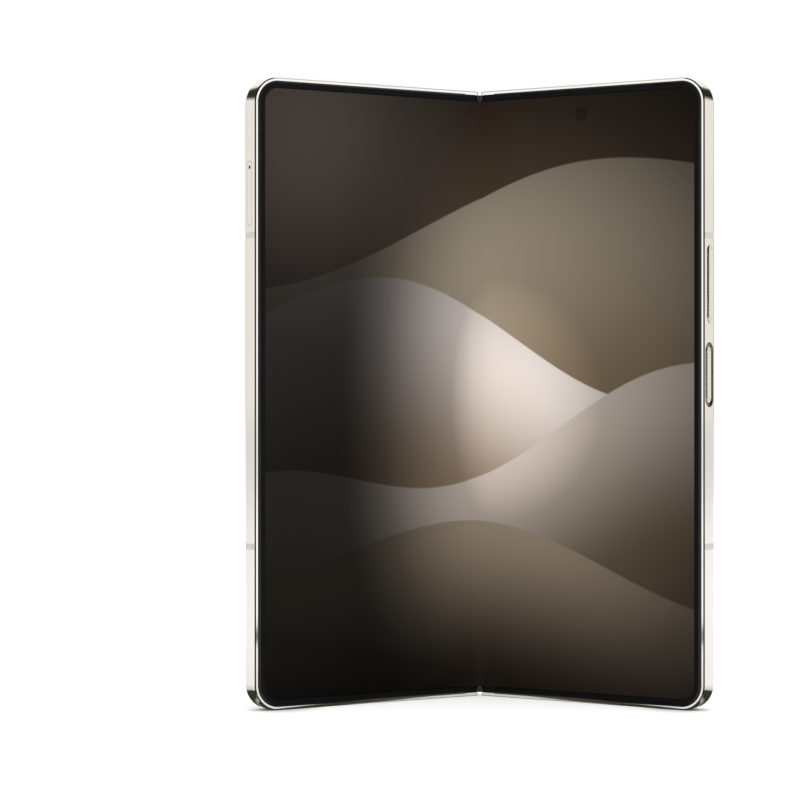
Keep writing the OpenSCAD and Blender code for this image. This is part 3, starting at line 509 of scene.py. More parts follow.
@dataclass(frozen=True)
class Finish:
    """An opaque finish with its own colour drift, gloss drift and relief."""

    name: str  # What the material is and how its surface was made
    colour: str  # Main colour, sRGB hex
    drift: str  # Second colour that the main one drifts to
    drift_mm: float  # Size of the colour's patches
    roughness: float  # Lowest roughness
    rough_drift: float = 0.08  # How much rougher its dullest patches are
    metallic: float = 0  # 0 or 1
    grain: Grain = Grain.BLASTED  # How the surface was made
    grain_mm: float = 0.12  # Size of the grain, drawn a little coarser than the real one so that it shows
    relief_mm: float = 0.0002  # Height of the grain
    coat: float = 0  # Weight of a clear coat
    specular: float = 0.5  # Specular level of a surface that isn't metal

    def paint(self, add: Adder) -> Socket:
        """Adds the nodes for the colour, the roughness, the bump and the shader.

        Args:
            add: Adds a node to the material's tree.

        Returns:
            The shader's output.
        """
        place = add("TexCoord", out="Object")
        patches = add("TexNoise", place, in_Scale=1 / (self.drift_mm * MM), in_Detail=3.0)
        dull = add("MapRange", patches, *NOISE_RANGE, self.roughness, self.roughness + self.rough_drift)
        relief = {}
        if self.grain is not Grain.POLISHED:
            along = add("Mapping", place, in_Scale=(1, 1, self.grain.value))
            grit = add("TexNoise", along, in_Scale=1 / (self.grain_mm * MM), in_Detail=2.0)
            relief["in_Normal"] = add("Bump", in_Height=grit, in_Strength=0.6, in_Distance=self.relief_mm * MM)
        return add(
            "BsdfPrincipled", add("Blend", patches, self.colour, self.drift), in_Roughness=dull,
            in_Metallic=self.metallic, in_Coat_Weight=self.coat, in_Coat_Roughness=0.04,
            in_Specular_IOR_Level=self.specular, **relief,
        )


@dataclass(frozen=True)
class GlassFinish:
    """Clear coated glass that shows what lies behind it."""

    name: str  # What the glass is
    tint: str  # Colour that it gives to what is seen through it, sRGB hex
    coating: float  # Weight of the anti-reflection coating's sheen
    coating_tint: str  # Colour of that sheen, sRGB hex
    ior: float  # Refractive index, lower where a coating takes the reflections away
    roughness: tuple[float, float] = (0.01, 0.03)  # Lowest and highest roughness of its polish
    smear_mm: float = 6  # Size of the faint smears

    def paint(self, add: Adder) -> Socket:
        """Adds the nodes for the tint, the faint smears and the shader.

        Args:
            add: Adds a node to the material's tree.

        Returns:
            The shader's output.
        """
        smear = add("TexNoise", add("TexCoord", out="Object"), in_Scale=1 / (self.smear_mm * MM), in_Detail=4.0)
        return add(
            "BsdfPrincipled", self.tint, in_Roughness=add("MapRange", smear, 0, 1, *self.roughness), in_IOR=self.ior,
            in_Transmission_Weight=1.0, in_Coat_Weight=self.coating, in_Coat_Roughness=0.02,
            in_Coat_Tint=self.coating_tint,
        )


# Anodised 6000-series aluminium, polished first: a warm cream gloss that mirrors the studio softly
ANODISED = Finish(
    "anodised_aluminium_cream", "#f1eee7", "#ebe7df", drift_mm=45, roughness=0.08, rough_drift=0.03, metallic=1
)
# Diamond-cut chamfer in the same alloy: mirror bright, so it shows the dark part of the studio as a thin line, and its
# colour is painted a shade darker than the wall as painted shade that deepens that line
CHAMFER = Finish(
    "diamond_cut_aluminium_chamfer", "#cfcabf", "#bdb7aa", drift_mm=20, roughness=0.05, rough_drift=0.03, metallic=1,
    grain=Grain.BRUSHED, grain_mm=0.3, relief_mm=0.0001,
)
# Polished lip beside the trim: the brightest line of the phone
LIP = Finish(
    "polished_aluminium_lip", "#fdfbf7", "#f6f3ec", drift_mm=30, roughness=0.06, rough_drift=0.03, metallic=1,
    relief_mm=0.0001,
)
# Milled pocket walls inside the frame, left as cut and anodised darker
MILLED = Finish(
    "milled_aluminium_pocket", "#9a958a", "#8a857a", drift_mm=8, roughness=0.42, metallic=1, grain=Grain.BRUSHED,
    grain_mm=0.2, relief_mm=0.003,
)
# Scoop round the power key, ball milled: duller, and its colour painted a shade darker than the wall as painted shade
# of the scoop's hollow
SCOOP = Finish(
    "ball_milled_aluminium_scoop", "#8f8b82", "#858177", drift_mm=6, roughness=0.3, metallic=1, grain_mm=0.15,
    relief_mm=0.002,
)
# Glass-filled plastic moulded through the frame and sanded flush: a shade greyer and duller than the metal
ANTENNA = Finish(
    "moulded_pbt_antenna_split", "#e6e3dc", "#dedad1", drift_mm=4, roughness=0.4, grain_mm=0.1, relief_mm=0.0005,
    specular=0.3,
)
# Clear glass painted cream on its inside, so the colour lies deep under the polish
CREAM_GLASS = Finish(
    "back_painted_glass_cream", "#efebe2", "#ece6da", drift_mm=60, roughness=0.06, rough_drift=0.02,
    grain=Grain.POLISHED, coat=1.0, specular=0.55,
)
# Black-printed cover glass over a display that is switched off
BLACK_GLASS = Finish(
    "printed_cover_glass_black", "#050506", "#08080a", drift_mm=40, roughness=0.04, rough_drift=0.02,
    grain=Grain.POLISHED, coat=1.0,
)
# Soft black polymer trim with a fine moulded texture, matt on top
TRIM = Finish(
    "moulded_tpu_trim_black", "#0c0c0d", "#101012", drift_mm=3, roughness=0.5, rough_drift=0.12, grain_mm=0.14,
    relief_mm=0.001, specular=0.1,
)
# The same polymer on the rounded outer edge, where the mould is polished and it takes a grey sheen; its colour is also
# painted a touch lighter than the trim as a painted highlight
TRIM_EDGE_HIGHLIGHT = Finish(
    "polished_tpu_trim_edge", "#19191b", "#1f1f21", drift_mm=6, roughness=0.3, grain_mm=0.14, specular=0.42
)
# Soft film that covers the ends of the crease, dull black
GUARD = Finish(
    "cast_tpu_film_black", "#0b0b0c", "#101011", drift_mm=4, roughness=0.45, grain_mm=0.2, relief_mm=0.002,
    specular=0.12,
)
# Anodised keys, a touch greyer than the frame round them
KEY_METAL = Finish(
    "anodised_aluminium_key", "#f1eee6", "#e8e3d9", drift_mm=8, roughness=0.16, rough_drift=0.05, metallic=1
)
# Bead blasted camera plateau in the frame's colour
PLATEAU = Finish(
    "anodised_aluminium_plateau", "#ece7dc", "#e2dccf", drift_mm=18, roughness=0.24, rough_drift=0.05, metallic=1,
    relief_mm=0.001,
)
# Turned and polished lens rings: bright, with a trace of the lathe left in the gloss
RING_METAL = Finish(
    "turned_aluminium_ring", "#d8d2c5", "#c9c2b3", drift_mm=5, roughness=0.1, rough_drift=0.06, metallic=1,
    grain_mm=0.1, relief_mm=0.0006,
)
# Black anodised lens barrel, dull so that it takes no light into the picture
BARREL = Finish("black_anodised_barrel", "#0d0d0f", "#141417", drift_mm=2, roughness=0.5, grain_mm=0.1, relief_mm=0.002)
# Ground and coated lens element: black depth with a violet sheen
LENS = Finish(
    "coated_lens_element", "#07070c", "#0d0a12", drift_mm=3, roughness=0.03, rough_drift=0.02, grain=Grain.POLISHED,
    coat=0.3, specular=0.4,
)
# Lens cover of hard clear glass with a violet anti-reflection coating
LENS_COVER = GlassFinish("coated_lens_cover", "#efeff2", coating=0.05, coating_tint="#6a6ad0", ior=1.12)
# Moulded cream plastic lens over the flash, glossy between its faceted rings
FLASH = Finish(
    "moulded_acrylic_flash", "#f5f2e6", "#ebe4c8", drift_mm=1.5, roughness=0.18, rough_drift=0.1, grain=Grain.POLISHED,
    coat=1.0,
)
# Dark grey moulded plastic of the hinge's end caps
CAP_PLASTIC = Finish("moulded_pc_cap_grey", "#2f2e2d", "#292827", drift_mm=2, roughness=0.38, relief_mm=0.003)
# Rolled and brushed stainless steel: plates, screws and connector shell
STEEL = Finish(
    "brushed_stainless_steel", "#c4c3bf", "#a9a8a3", drift_mm=3, roughness=0.28, metallic=1, grain=Grain.BRUSHED,
    grain_mm=0.08, relief_mm=0.002,
)
# Sintered and burnished hinge steel: a little pitted, with oil-dark patches
SINTERED = Finish(
    "sintered_hinge_steel", "#9b9890", "#7d7a72", drift_mm=1.5, roughness=0.34, rough_drift=0.16, metallic=1,
    grain_mm=0.1, relief_mm=0.004,
)
# Enamelled copper wire of the charging coil
COPPER = Finish(
    "enamelled_copper_wire", "#c27a4e", "#a9623a", drift_mm=1, roughness=0.25, metallic=1, grain_mm=0.2, relief_mm=0.01
)
# Green solder mask over glass fibre, with the weave showing through
BOARD = Finish("solder_mask_board", "#20402f", "#183424", drift_mm=1.5, roughness=0.35, grain_mm=0.3, relief_mm=0.01)
# Grey laminate pouch of the cell, slightly quilted
POUCH = Finish("laminate_cell_pouch", "#4c4c52", "#404046", drift_mm=6, roughness=0.4, grain_mm=1.2, relief_mm=0.03)
# Amber polyimide film of the flat cables
POLYIMIDE = Finish(
    "polyimide_flat_cable", "#8a5a2b", "#6f4620", drift_mm=2, roughness=0.3, grain_mm=0.4, relief_mm=0.004
)
# Black glass-filled nylon of the sound boxes
NYLON = Finish("moulded_nylon_black", "#1c1c1f", "#242428", drift_mm=2, roughness=0.55, grain_mm=0.2, relief_mm=0.008)


@dataclass(frozen=True)
class DuneBand:
    """One soft band of the wallpaper, in millimetres of the unfolded sheet."""

    base: float  # Height of its crest at the crease
    slope: float  # Rise of the crest to the right
    swing: float  # Height of the crest's waves
    wave: float  # Length of one wave
    phase: float  # Start of the waves, in turns
    depth: float  # How far below the crest its light fades
    crest: str  # Colour of the crest, sRGB hex
    body: str  # Colour far below the crest, sRGB hex
    soft: float = 0.3  # Half width of the soft line along its crest

    def lay(self, add: Adder, across: Socket, up: Socket, under: Socket | str) -> Socket:
        """Lays the band over the colour behind it.

        Args:
            add: Adds a node to the material's tree.
            across: Distance from the crease.
            up: Height over the bottom edge.
            under: Colour behind the band.

        Returns:
            Colour with the band laid over it.
        """
        turn = add("MULTIPLY_ADD", across, math.tau / self.wave, math.tau * self.phase)
        wave = add("MULTIPLY_ADD", add("SINE", turn), self.swing, self.base)
        below = add("SUBTRACT", add("MULTIPLY_ADD", across, self.slope, wave), up)
        paint = add("Blend", add("Ease", below, 0, self.depth), self.crest, self.body)
        return add("Blend", add("Ease", below, -self.soft, self.soft), under, paint)


def spot(add: Adder, place: Socket, centre: tuple[float, float], far: float, close: float) -> Socket:
    """Round spot in a flat pattern.

    Args:
        add: Adds a node to the material's tree.
        place: Place in the pattern.
        centre: Centre of the spot.
        far: Distance from the centre beyond which it is 0.
        close: Distance within which it is 1.

    Returns:
        The spot, from 0 to 1.
    """
    centred = add("Mapping", place, in_Location=(-centre[0], -centre[1], 0))
    return add("Ease", add("Length", centred), far, close)


@dataclass(frozen=True)
class ScreenFinish:
    """Switched-on display: soft bands of light under a glossy film, with a black border."""

    name: str  # What the surface is
    bands: tuple[DuneBand, ...]  # Bands from the farthest to the nearest
    sky: str = "#6d5b49"  # Colour behind them, sRGB hex
    window: tuple[float, float] = (61.5, 74.8)  # Half width and half height of what is lit, in millimetres
    middle: float = 77.45  # Height of its middle, in millimetres
    # Place of the camera under the display, in millimetres from the crease and the bottom edge
    camera: tuple[float, float] = (29.84, 147.6)
    camera_edge: tuple[float, float] = (1.95, 1.75)  # Radii at which its disc is gone and full, in millimetres
    camera_shade: float = 0.4  # How much darker the disc is
    lamp: tuple[float, float] = (5, 76)  # Place from which the bands are lit, in the same measure
    dusk: float = 108  # Distance from the lamp at which it is darkest, in millimetres
    haste: float = 2.3  # How much sooner it is dark on the lamp's left
    haze: tuple[float, float] = (-50, 142)  # Place of the haze in the dark corner, in the same measure
    haze_r: float = 56  # Radius of the haze, in millimetres

    def paint(self, add: Adder) -> Socket:
        """Lays the bands, lights them from one place, and adds the haze, the camera and the border.

        Args:
            add: Adds a node to the material's tree.

        Returns:
            The shader's output.
        """
        place = add("UVMap", uv_map="sheet")
        across, up, _ = add("SeparateXYZ", place, out=None).outputs
        colour: Any = self.sky
        for band in self.bands:
            colour = band.lay(add, across, up, colour)
        colour = add("Blend", 1.0, colour, self.light(add, across, up), blend_type="MULTIPLY")
        colour = add("Blend", spot(add, place, self.haze, self.haze_r, 0), colour, "#403934", blend_type="ADD")
        disc = add("MULTIPLY", spot(add, place, self.camera, *self.camera_edge), self.camera_shade)
        colour = add("Blend", disc, colour, "#060505")
        beside = add("GREATER_THAN", add("ABSOLUTE", across), self.window[0])
        rise = add("ABSOLUTE", add("SUBTRACT", up, self.middle))
        border = add("MAXIMUM", beside, add("GREATER_THAN", rise, self.window[1]))
        return add(
            "BsdfPrincipled", "#020202", in_Roughness=0.12, in_Specular_IOR_Level=0.03,
            in_Emission_Color=add("Blend", border, colour, "#000000"), in_Emission_Strength=1.0,
        )

    def light(self, add: Adder, across: Socket, up: Socket) -> Socket:
        """Brightness of the bands: full near the lamp, and sooner dark on its left.

        Args:
            add: Adds a node to the material's tree.
            across: Distance from the crease.
            up: Height over the bottom edge.

        Returns:
            The brightness, as a grey.
        """
        right = add("SUBTRACT", across, self.lamp[0])
        side = add("MAXIMUM", right, add("MULTIPLY", right, -self.haste))
        where = add("CombineXYZ", side, add("SUBTRACT", up, self.lamp[1]))
        return add(
            "ValToRGB", add("Ease", add("Length", where), 0, self.dusk),
            stops=(
                (0.0, "#ffffff"), (0.04, "#f4f4f4"), (0.2, "#b8b8b8"), (0.53, "#8e8e8e"), (0.8, "#5c5c5c"),
                (1.0, "#2a2a2a"),
            ),
        )


@dataclass(frozen=True)
class CoverGlassFinish:
    """Cover glass printed black from behind, with a camera painted in its window, painted reflections included, and a
    display that is off.
    """

    name: str  # What the surface is
    # Centre of the camera's window, in millimetres from the hinge line and the bottom edge
    punch: tuple[float, float] = (33.675, 146.9)
    window_r: float = 2.2  # Radius of the window, in millimetres
    rings_r: float = 2.75  # Radius of the outermost of the camera's painted rings, in millimetres
    # Middle of the display, in millimetres from the hinge line and the bottom edge
    middle: tuple[float, float] = (35.1, 77.45)
    active: tuple[float, float] = (26.5, 74.05)  # Half width and half height of the display, in millimetres

    def paint(self, add: Adder) -> Socket:
        """Adds the nodes for the display's faint edge, the camera's painted rings with a painted violet reflection and
        painted grey highlights, the smears and the shader.

        Args:
            add: Adds a node to the material's tree.

        Returns:
            The shader's output.
        """
        place = add("UVMap", uv_map="sheet")
        far = add("Length", add("Mapping", place, in_Location=(-self.punch[0], -self.punch[1], 0)))
        # The camera in the window is painted: dark rings of its own, a painted violet reflection in the middle and
        # painted grey highlight rings
        rings = add(
            "ValToRGB", add("MapRange", far, 0, self.rings_r),
            stops=(
                (0.0, "#1d1b3a"), (0.2, "#14132a"), (0.24, "#2b2b30"), (0.28, "#060608"), (0.5, "#08080b"),
                (0.54, "#1a1a1e"), (0.74, "#0c0c0f"), (0.78, "#26262a"), (0.82, "#050506"),
            ),
        )
        inside = add("Mapping", place, in_Location=(-self.middle[0], -self.middle[1], 0))
        side, rise, _ = add("SeparateXYZ", add("VectorMath", inside, operation="ABSOLUTE"), out=None).outputs
        lit = add("MULTIPLY", *(add("LESS_THAN", way, reach) for way, reach in zip((side, rise), self.active)))
        panel = add("Blend", lit, "#040404", "#0a0a0d")
        colour = add("Blend", add("LESS_THAN", far, self.window_r), panel, rings)
        smear = add("TexNoise", place, in_Scale=0.05, in_Detail=3.0)
        dull = add("MapRange", smear, 0, 1, 0.03, 0.07)
        return add("BsdfPrincipled", colour, in_Roughness=dull, in_Specular_IOR_Level=0.3)


# Cover display that is off, under glass printed black round it, with the camera in its window painted, painted
# reflections included
COVER_GLASS = CoverGlassFinish("printed_cover_glass")
# Folding display with its wallpaper lit: soft sand-coloured dunes, lit from the middle, under a dark sky
SCREEN = ScreenFinish(
    "lit_folding_display",
    bands=(
        DuneBand(122, 0.16, 9, 168, 0.10, 62, "#d8c8b0", "#8a765e"),
        DuneBand(92, -0.10, 12, 142, 0.42, 50, "#f4e8e0", "#a08a74"),
        DuneBand(64, 0.22, 8, 120, 0.80, 46, "#dccdc0", "#86735f"),
        DuneBand(36, -0.06, 9, 150, 0.25, 40, "#b8a58e", "#4a3d31"),
    ),
)


# ---------------------------------------------------------------- sub-assemblies


@dataclass(frozen=True)
class Part:
    """A sub-assembly, with the steps that all of them share."""

    half: Half = field(default=Half.RIGHT, kw_only=True)  # Half whose flat frame it is modelled in

    def name(self, what: str) -> str:
        """Name of a node or a piece of this half."""
        return f"{self.half.word}_{what}"

    def flat(self) -> Matrix:
        """Matrix from the row frame to the flat frame of the half."""
        return STANCE.matrix(self.half).inverted()

    def box(self, node: str) -> tuple[Vector, Vector]:
        """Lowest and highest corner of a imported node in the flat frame.

        Args:
            node: Name of the node.

        Returns:
            The two corners.
        """
        flat = self.flat()
        points = [flat @ vertex.co for vertex in frame["nodes"][node].data.vertices]
        return tuple(Vector([limit(point[i] for point in points) for i in range(3)]) for limit in (min, max))

    def stand(self, piece: Object) -> None:
        """Puts a piece that was modelled flat where its half stands at rest.

        Args:
            piece: The piece.
        """
        piece.matrix_world = STANCE.matrix(self.half) @ piece.matrix_world
        apply_place(piece)
        with editing(piece):
            face_out()

    def deliver(
        self, piece: Object, slot: str, nodes: tuple[str, ...], *finishes: Any, degrees: float = 30,
        weighted: bool = True, pick: Callable[[Vector, Vector], int] | None = None, body: str | None = None,
        stop: Vector | None = None,
    ) -> None:
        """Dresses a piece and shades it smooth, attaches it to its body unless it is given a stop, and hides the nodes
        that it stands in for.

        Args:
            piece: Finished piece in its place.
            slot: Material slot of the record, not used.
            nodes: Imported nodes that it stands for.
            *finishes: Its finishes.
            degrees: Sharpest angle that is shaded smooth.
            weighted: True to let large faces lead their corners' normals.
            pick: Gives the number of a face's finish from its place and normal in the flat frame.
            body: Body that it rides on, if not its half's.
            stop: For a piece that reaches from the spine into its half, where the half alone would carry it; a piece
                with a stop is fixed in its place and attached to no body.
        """
        piece.data.materials.clear()
        for finish in finishes:
            piece.data.materials.append(material_of(finish))
        if pick:
            flat = self.flat()
            turn = flat.to_3x3()
            for face in piece.data.polygons:
                face.material_index = pick(flat @ face.center, turn @ face.normal)
        pick_only(piece)
        bpy.ops.object.shade_smooth_by_angle(angle=math.radians(degrees))
        with editing(piece):
            choose(piece, Pick.EDGE, lambda edge: len({face.material_index for face in edge.link_faces}) > 1)
            bpy.ops.mesh.mark_sharp()
        if weighted:
            run_modifier(piece, "WEIGHTED_NORMAL", mode="FACE_AREA", weight=80, keep_sharp=True)
        body = body or self.half.body
        if stop is None:
            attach(piece, body)
        else:
            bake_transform(piece)
        if nodes:
            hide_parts(*nodes)
        LOG.info("%s moves with %s: %d faces", piece.name, body, len(piece.data.polygons))


class Cut(IntEnum):
    """Faces of the metal frame, by the cut of the mill that made them."""

    WALL = 0
    CHAMFER = 1
    LIP = 2
    POCKET = 3
    SCOOP = 4


@dataclass(frozen=True)
class FrameShell(Part):
    """Metal frame of one half with its antenna splits, each cut of the mill in its own finish."""

    lip: float = 0.85 * MM  # Width of chamfer and lip together
    chamfer: float = 0.37 * MM  # Width of the diamond-cut chamfer
    skin: float = 0.3 * MM  # Depth within which a face counts as the outer wall
    hinge_end: float = 2.2 * MM  # Distance from the hinge line within which the end is rounded
    end_skin: float = 4 * MM  # Depth within which a face counts as that end
    back_band: float = 4.7 * MM  # Distance from the hinge line up to where the back is bare metal
    back_from: float = 5.6 * MM  # Depth behind which a face counts as the back
    round_from: float = 4.8 * MM  # Depth from which the outer edge is rounded towards the back
    round_w: float = 1.05 * MM  # Width of that rounding
    scoop_z: tuple[float, float] = (74.0 * MM, 90.2 * MM)  # Height of the scoop round the power key, lowest and highest
    scoop_depth: float = 0.55 * MM  # Deepest that the scoop is cut
    straight: float = 0.95  # Least share of a direction in the normal of a face that looks straight that way
    slanted: float = 0.4  # The same for the slanted face of the chamfer
    turned: float = 0.2  # The same for a face that is turned a little that way

    def build(self) -> None:
        """Builds and dresses the frame and the splits in its wall."""
        for node, name, slot, pick, finishes in (
            ("frame", "metal_frame", "frame_aluminium", self.cut_of, (ANODISED, CHAMFER, LIP, MILLED, SCOOP)),
            ("antenna_bands", "antenna_splits", "antenna_plastic", self.rim_of, (ANTENNA, CHAMFER, LIP)),
        ):
            piece = copy_of_node(self.name(node), self.name(name))
            self.deliver(piece, slot, (self.name(node),), *finishes, degrees=28, pick=pick)

    def rim_of(self, place: Vector, normal: Vector) -> Cut:
        """Tells the polished lip and the chamfer, which run on over the splits, from the rest.

        Args:
            place: Middle of a face in the flat frame.
            normal: Its normal there.

        Returns:
            The cut that the face belongs to.
        """
        depth, _ = OUTLINE.measure(place.x, place.z)
        if depth < self.lip and -normal.y > self.straight:
            return Cut.LIP
        return Cut.CHAMFER if depth < self.chamfer and -normal.y > self.slanted else Cut.WALL

    def cut_of(self, place: Vector, normal: Vector) -> Cut:
        """Tells all cuts of the frame apart.

        Args:
            place: Middle of a face in the flat frame.
            normal: Its normal there.

        Returns:
            The cut that the face belongs to.
        """
        rim = self.rim_of(place, normal)
        if rim is not Cut.WALL:
            return rim
        depth, way = OUTLINE.measure(place.x, place.z)
        outward = normal.dot(way)
        if depth < self.skin and outward > self.turned:
            return Cut.WALL
        if depth < self.round_w and place.y > self.round_from and (outward > self.turned or normal.y > self.slanted):
            return Cut.WALL
        # The scoop's floor takes the finish whose darker colour is painted shade
        if self.half is Half.RIGHT and outward > self.straight and self.scoop_z[0] < place.z < self.scoop_z[1]:
            return Cut.SCOOP if depth < self.scoop_depth else Cut.POCKET
        if place.x < self.hinge_end and normal.x < self.turned and depth < self.end_skin:
            return Cut.WALL
        bare = place.x < self.back_band and place.y > self.back_from and normal.y > self.straight
        return Cut.WALL if bare else Cut.POCKET


@dataclass(frozen=True)
class Trim(Part):
    """Soft black trim that stands proud round the inner display, open towards the hinge."""

    side_w: float = 1.75 * MM  # Width along the outer side
    end_w: float = 1.8 * MM  # Width along the top and bottom
    outer_r: float = 5.6 * MM  # Radius of its outer corners
    window_r: float = 3.8 * MM  # Radius of the window's corners
    outer_bevel: float = 0.5 * MM  # Width of the round outer edge
    outer_profile: float = 0.36  # Roundness of that edge
    inner_bevel: float = 0.15 * MM  # Width of the round inner edge
    edge_w: float = 0.49 * MM  # Width of the polished outer edge, which carries the painted highlight
    hinge_gap: float = 0.01 * MM  # Width beside the hinge that stays sharp
    rim_zone: float = 0.1 * MM  # Inset up to which an edge is one of the outer edge
    window_zone: float = 1 * MM  # Inset from which it is one of the window
    slit: tuple[float, float] = (51.1 * MM, 56.1 * MM)  # Lowest and highest x of the sound slits
    slit_w: float = 0.32 * MM  # Width of the sound slits
    slit_end: float = 0.75 * MM  # Distance of the slits' middle from the trim's ends
    slit_depth: float = 0.35 * MM  # Depth of the slits
    slit_round: float = 0.45  # Radius of the slits' ends, as a share of their width

    def build(self) -> None:
        """Builds and dresses the trim."""
        node = self.name("bezel")
        low, high = self.box(node)
        piece = round_plate(self.name("display_trim"), low, high, 0, self.outer_r, segments=20)
        window_low = Vector((low.x - MM, low.y - MM, low.z + self.end_w))
        window_high = Vector((high.x - self.side_w, high.y + MM, high.z - self.end_w))
        cut(piece, round_plate("window", window_low, window_high, 0, self.window_r, segments=16))

        def inset(place: Vector) -> float:
            """How far a point lies inside the trim's outer edge, or not a number beside the hinge."""
            depth, _ = OUTLINE.measure(place.x, place.z)
            return depth - (OUTLINE.width - high.x) if place.x > low.x + self.hinge_gap else math.nan

        def on_rim(edge: bmesh.types.BMEdge, least: float, most: float) -> bool:
            """True if an edge lies on the front, between two insets."""
            return at_depth(edge, low.y) and least < inset((edge.verts[0].co + edge.verts[1].co) / 2) < most

        bevel_rim(
            piece, lambda edge: on_rim(edge, -self.rim_zone, self.rim_zone), self.outer_bevel, segments=5,
            profile=self.outer_profile,
        )
        bevel_rim(piece, lambda edge: on_rim(edge, self.window_zone, math.inf), self.inner_bevel, segments=2)
        if self.half is Half.RIGHT:
            self.cut_slits(piece, low, high)
        self.stand(piece)
        # The outer edge takes the lighter finish, a painted highlight
        self.deliver(
            piece, "trim_black", (node,), TRIM, TRIM_EDGE_HIGHLIGHT, degrees=35,
            pick=lambda place, normal: int(inset(place) < self.edge_w),
        )

    def cut_slits(self, piece: Object, low: Vector, high: Vector) -> None:
        """Cuts the sound slits of the earpiece and the microphone.

        Args:
            piece: The trim in the flat frame.
            low: Its lowest corner.
            high: Its highest corner.
        """
        for z in (high.z - self.slit_end, low.z + self.slit_end):
            slit_low = Vector((self.slit[0], low.y - MM, z - self.slit_w / 2))
            slit_high = Vector((self.slit[1], low.y + self.slit_depth, z + self.slit_w / 2))
            radius = self.slit_round * self.slit_w
            cut(piece, round_plate("slit", slit_low, slit_high, radius, radius, segments=4))


@dataclass(frozen=True)
class Crease(Part):
    """Sheet that follows the round middle of the folding display, as one half of it bends at rest."""

    bend_r: float = 3 * MM  # Radius of the display's front at the crease
    thickness: float = 0.5 * MM  # Thickness of the display
    tangent_x: float = 2.335 * MM  # Where the bend runs out into the flat part, in the flat frame
    bend_steps: int = 16  # Facets of the bend
    # Point past which the display lies flat on its half, in x and y of the flat frame, given to deliver as the stop
    blend_at: tuple[float, float] = (5.2 * MM, 0.25 * MM)
    sliver: float = 0.01 * MM  # Width of the strip that the bend starts from

    @property
    def front_y(self) -> float:
        """Depth of the display's front at the crease, in the row frame."""
        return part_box("display_fold")[1][1] - self.thickness

    @property
    def outward(self) -> Vector:
        """Direction from the crease to the outer side, in the row frame."""
        return Vector((self.half.value * math.cos(STANCE.tilt), -math.sin(STANCE.tilt), 0))

    @property
    def stop(self) -> Vector:
        """The blend_at point in the row frame, which deliver is given as the stop."""
        return STANCE.matrix(self.half) @ Vector((*self.blend_at, 0))

    def bend(self, name: str, low_z: float, high_z: float, forward: float, far_x: float, steps: int) -> Object:
        """Spins an upright edge from the crease to where the display turns flat, and draws it out from there.

        Args:
            name: Name of the piece.
            low_z: Lowest point of the edge.
            high_z: Highest point of the edge.
            forward: Distance in front of the display's front.
            far_x: How far it is drawn out, in the flat frame.
            steps: Columns of the part that is drawn out.

        Returns:
            The bent surface, with its last edge selected.
        """
        y = self.front_y - forward
        piece = start_with(
            bpy.ops.mesh.primitive_plane_add, name, (high_z - low_z, self.sliver, 1), size=1,
            location=(0, y, (low_z + high_z) / 2), rotation=(0, math.pi / 2, 0),
        )
        with editing(piece):
            choose(piece, Pick.VERT, lambda vertex: vertex.co.y < y)
            bpy.ops.mesh.delete(type="VERT")
            choose(piece, Pick.EDGE, lambda edge: True)
            bpy.ops.transform.translate(value=(0, -self.sliver / 2, 0))
            bpy.ops.mesh.spin(
                steps=self.bend_steps, angle=self.half.value * STANCE.tilt,
                center=(0, self.front_y - self.bend_r, 0), axis=(0, 0, 1),
            )
            for _ in range(steps):
                grow(self.outward * ((far_x - self.tangent_x) / steps))
        return piece


@dataclass(frozen=True)
class DisplaySheet(Crease):
    """One half of the folding display, from the crease to the outer side, as one bent sheet."""

    narrow_x: float = 7 * MM  # Up to where the sheet is narrower so that it clears the hinge's ends
    step_w: float = 0.02 * MM  # Width of the step from the narrow part to the full height
    corner: float = 5.25 * MM  # Radius of the two outer corners
    soft_steps: int = 18  # Columns between the bend and narrow_x

    def build(self) -> None:
        """Builds and dresses the sheet."""
        fold_low, fold_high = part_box("display_fold")
        low, high = self.box(self.name("display"))
        piece = self.bend(self.name("display_sheet"), fold_low[2], fold_high[2], 0, self.narrow_x, self.soft_steps)
        with editing(piece):
            grow(self.outward * self.step_w)
            bpy.ops.transform.resize(value=(1, 1, (high.z - low.z) / (fold_high[2] - fold_low[2])))
            grow(self.outward * (high.x - self.narrow_x - self.step_w))
            far = max(abs(vertex.co.x) for vertex in bmesh.from_edit_mesh(piece.data).verts)
            choose(piece, Pick.VERT, lambda vertex: abs(vertex.co.x) > far - SAME)
            bpy.ops.mesh.bevel(offset=self.corner, segments=16, affect="VERTICES")
            weld(WELD)
            face_out()
        lay_uv(piece, self.unfolded)
        make_sheet(piece, self.thickness, material_offset_rim=1, material_offset=1)
        self.deliver(
            piece, "display_film", (self.name("display"), "display_fold"), SCREEN, BLACK_GLASS, weighted=False,
            stop=self.stop,
        )

    def unfolded(self, place: Vector) -> tuple[float, float]:
        """Place of a point on the sheet when it is laid out flat.

        Args:
            place: The point in the row frame.

        Returns:
            Its distance from the crease and its height, in millimetres.
        """
        past = (self.flat() @ place).x - self.tangent_x
        angle = math.atan2(abs(place.x), place.y - (self.front_y - self.bend_r))
        along = past + self.bend_r * STANCE.tilt if past >= -WELD else self.bend_r * angle
        return self.half.value * along / MM, place.z / MM


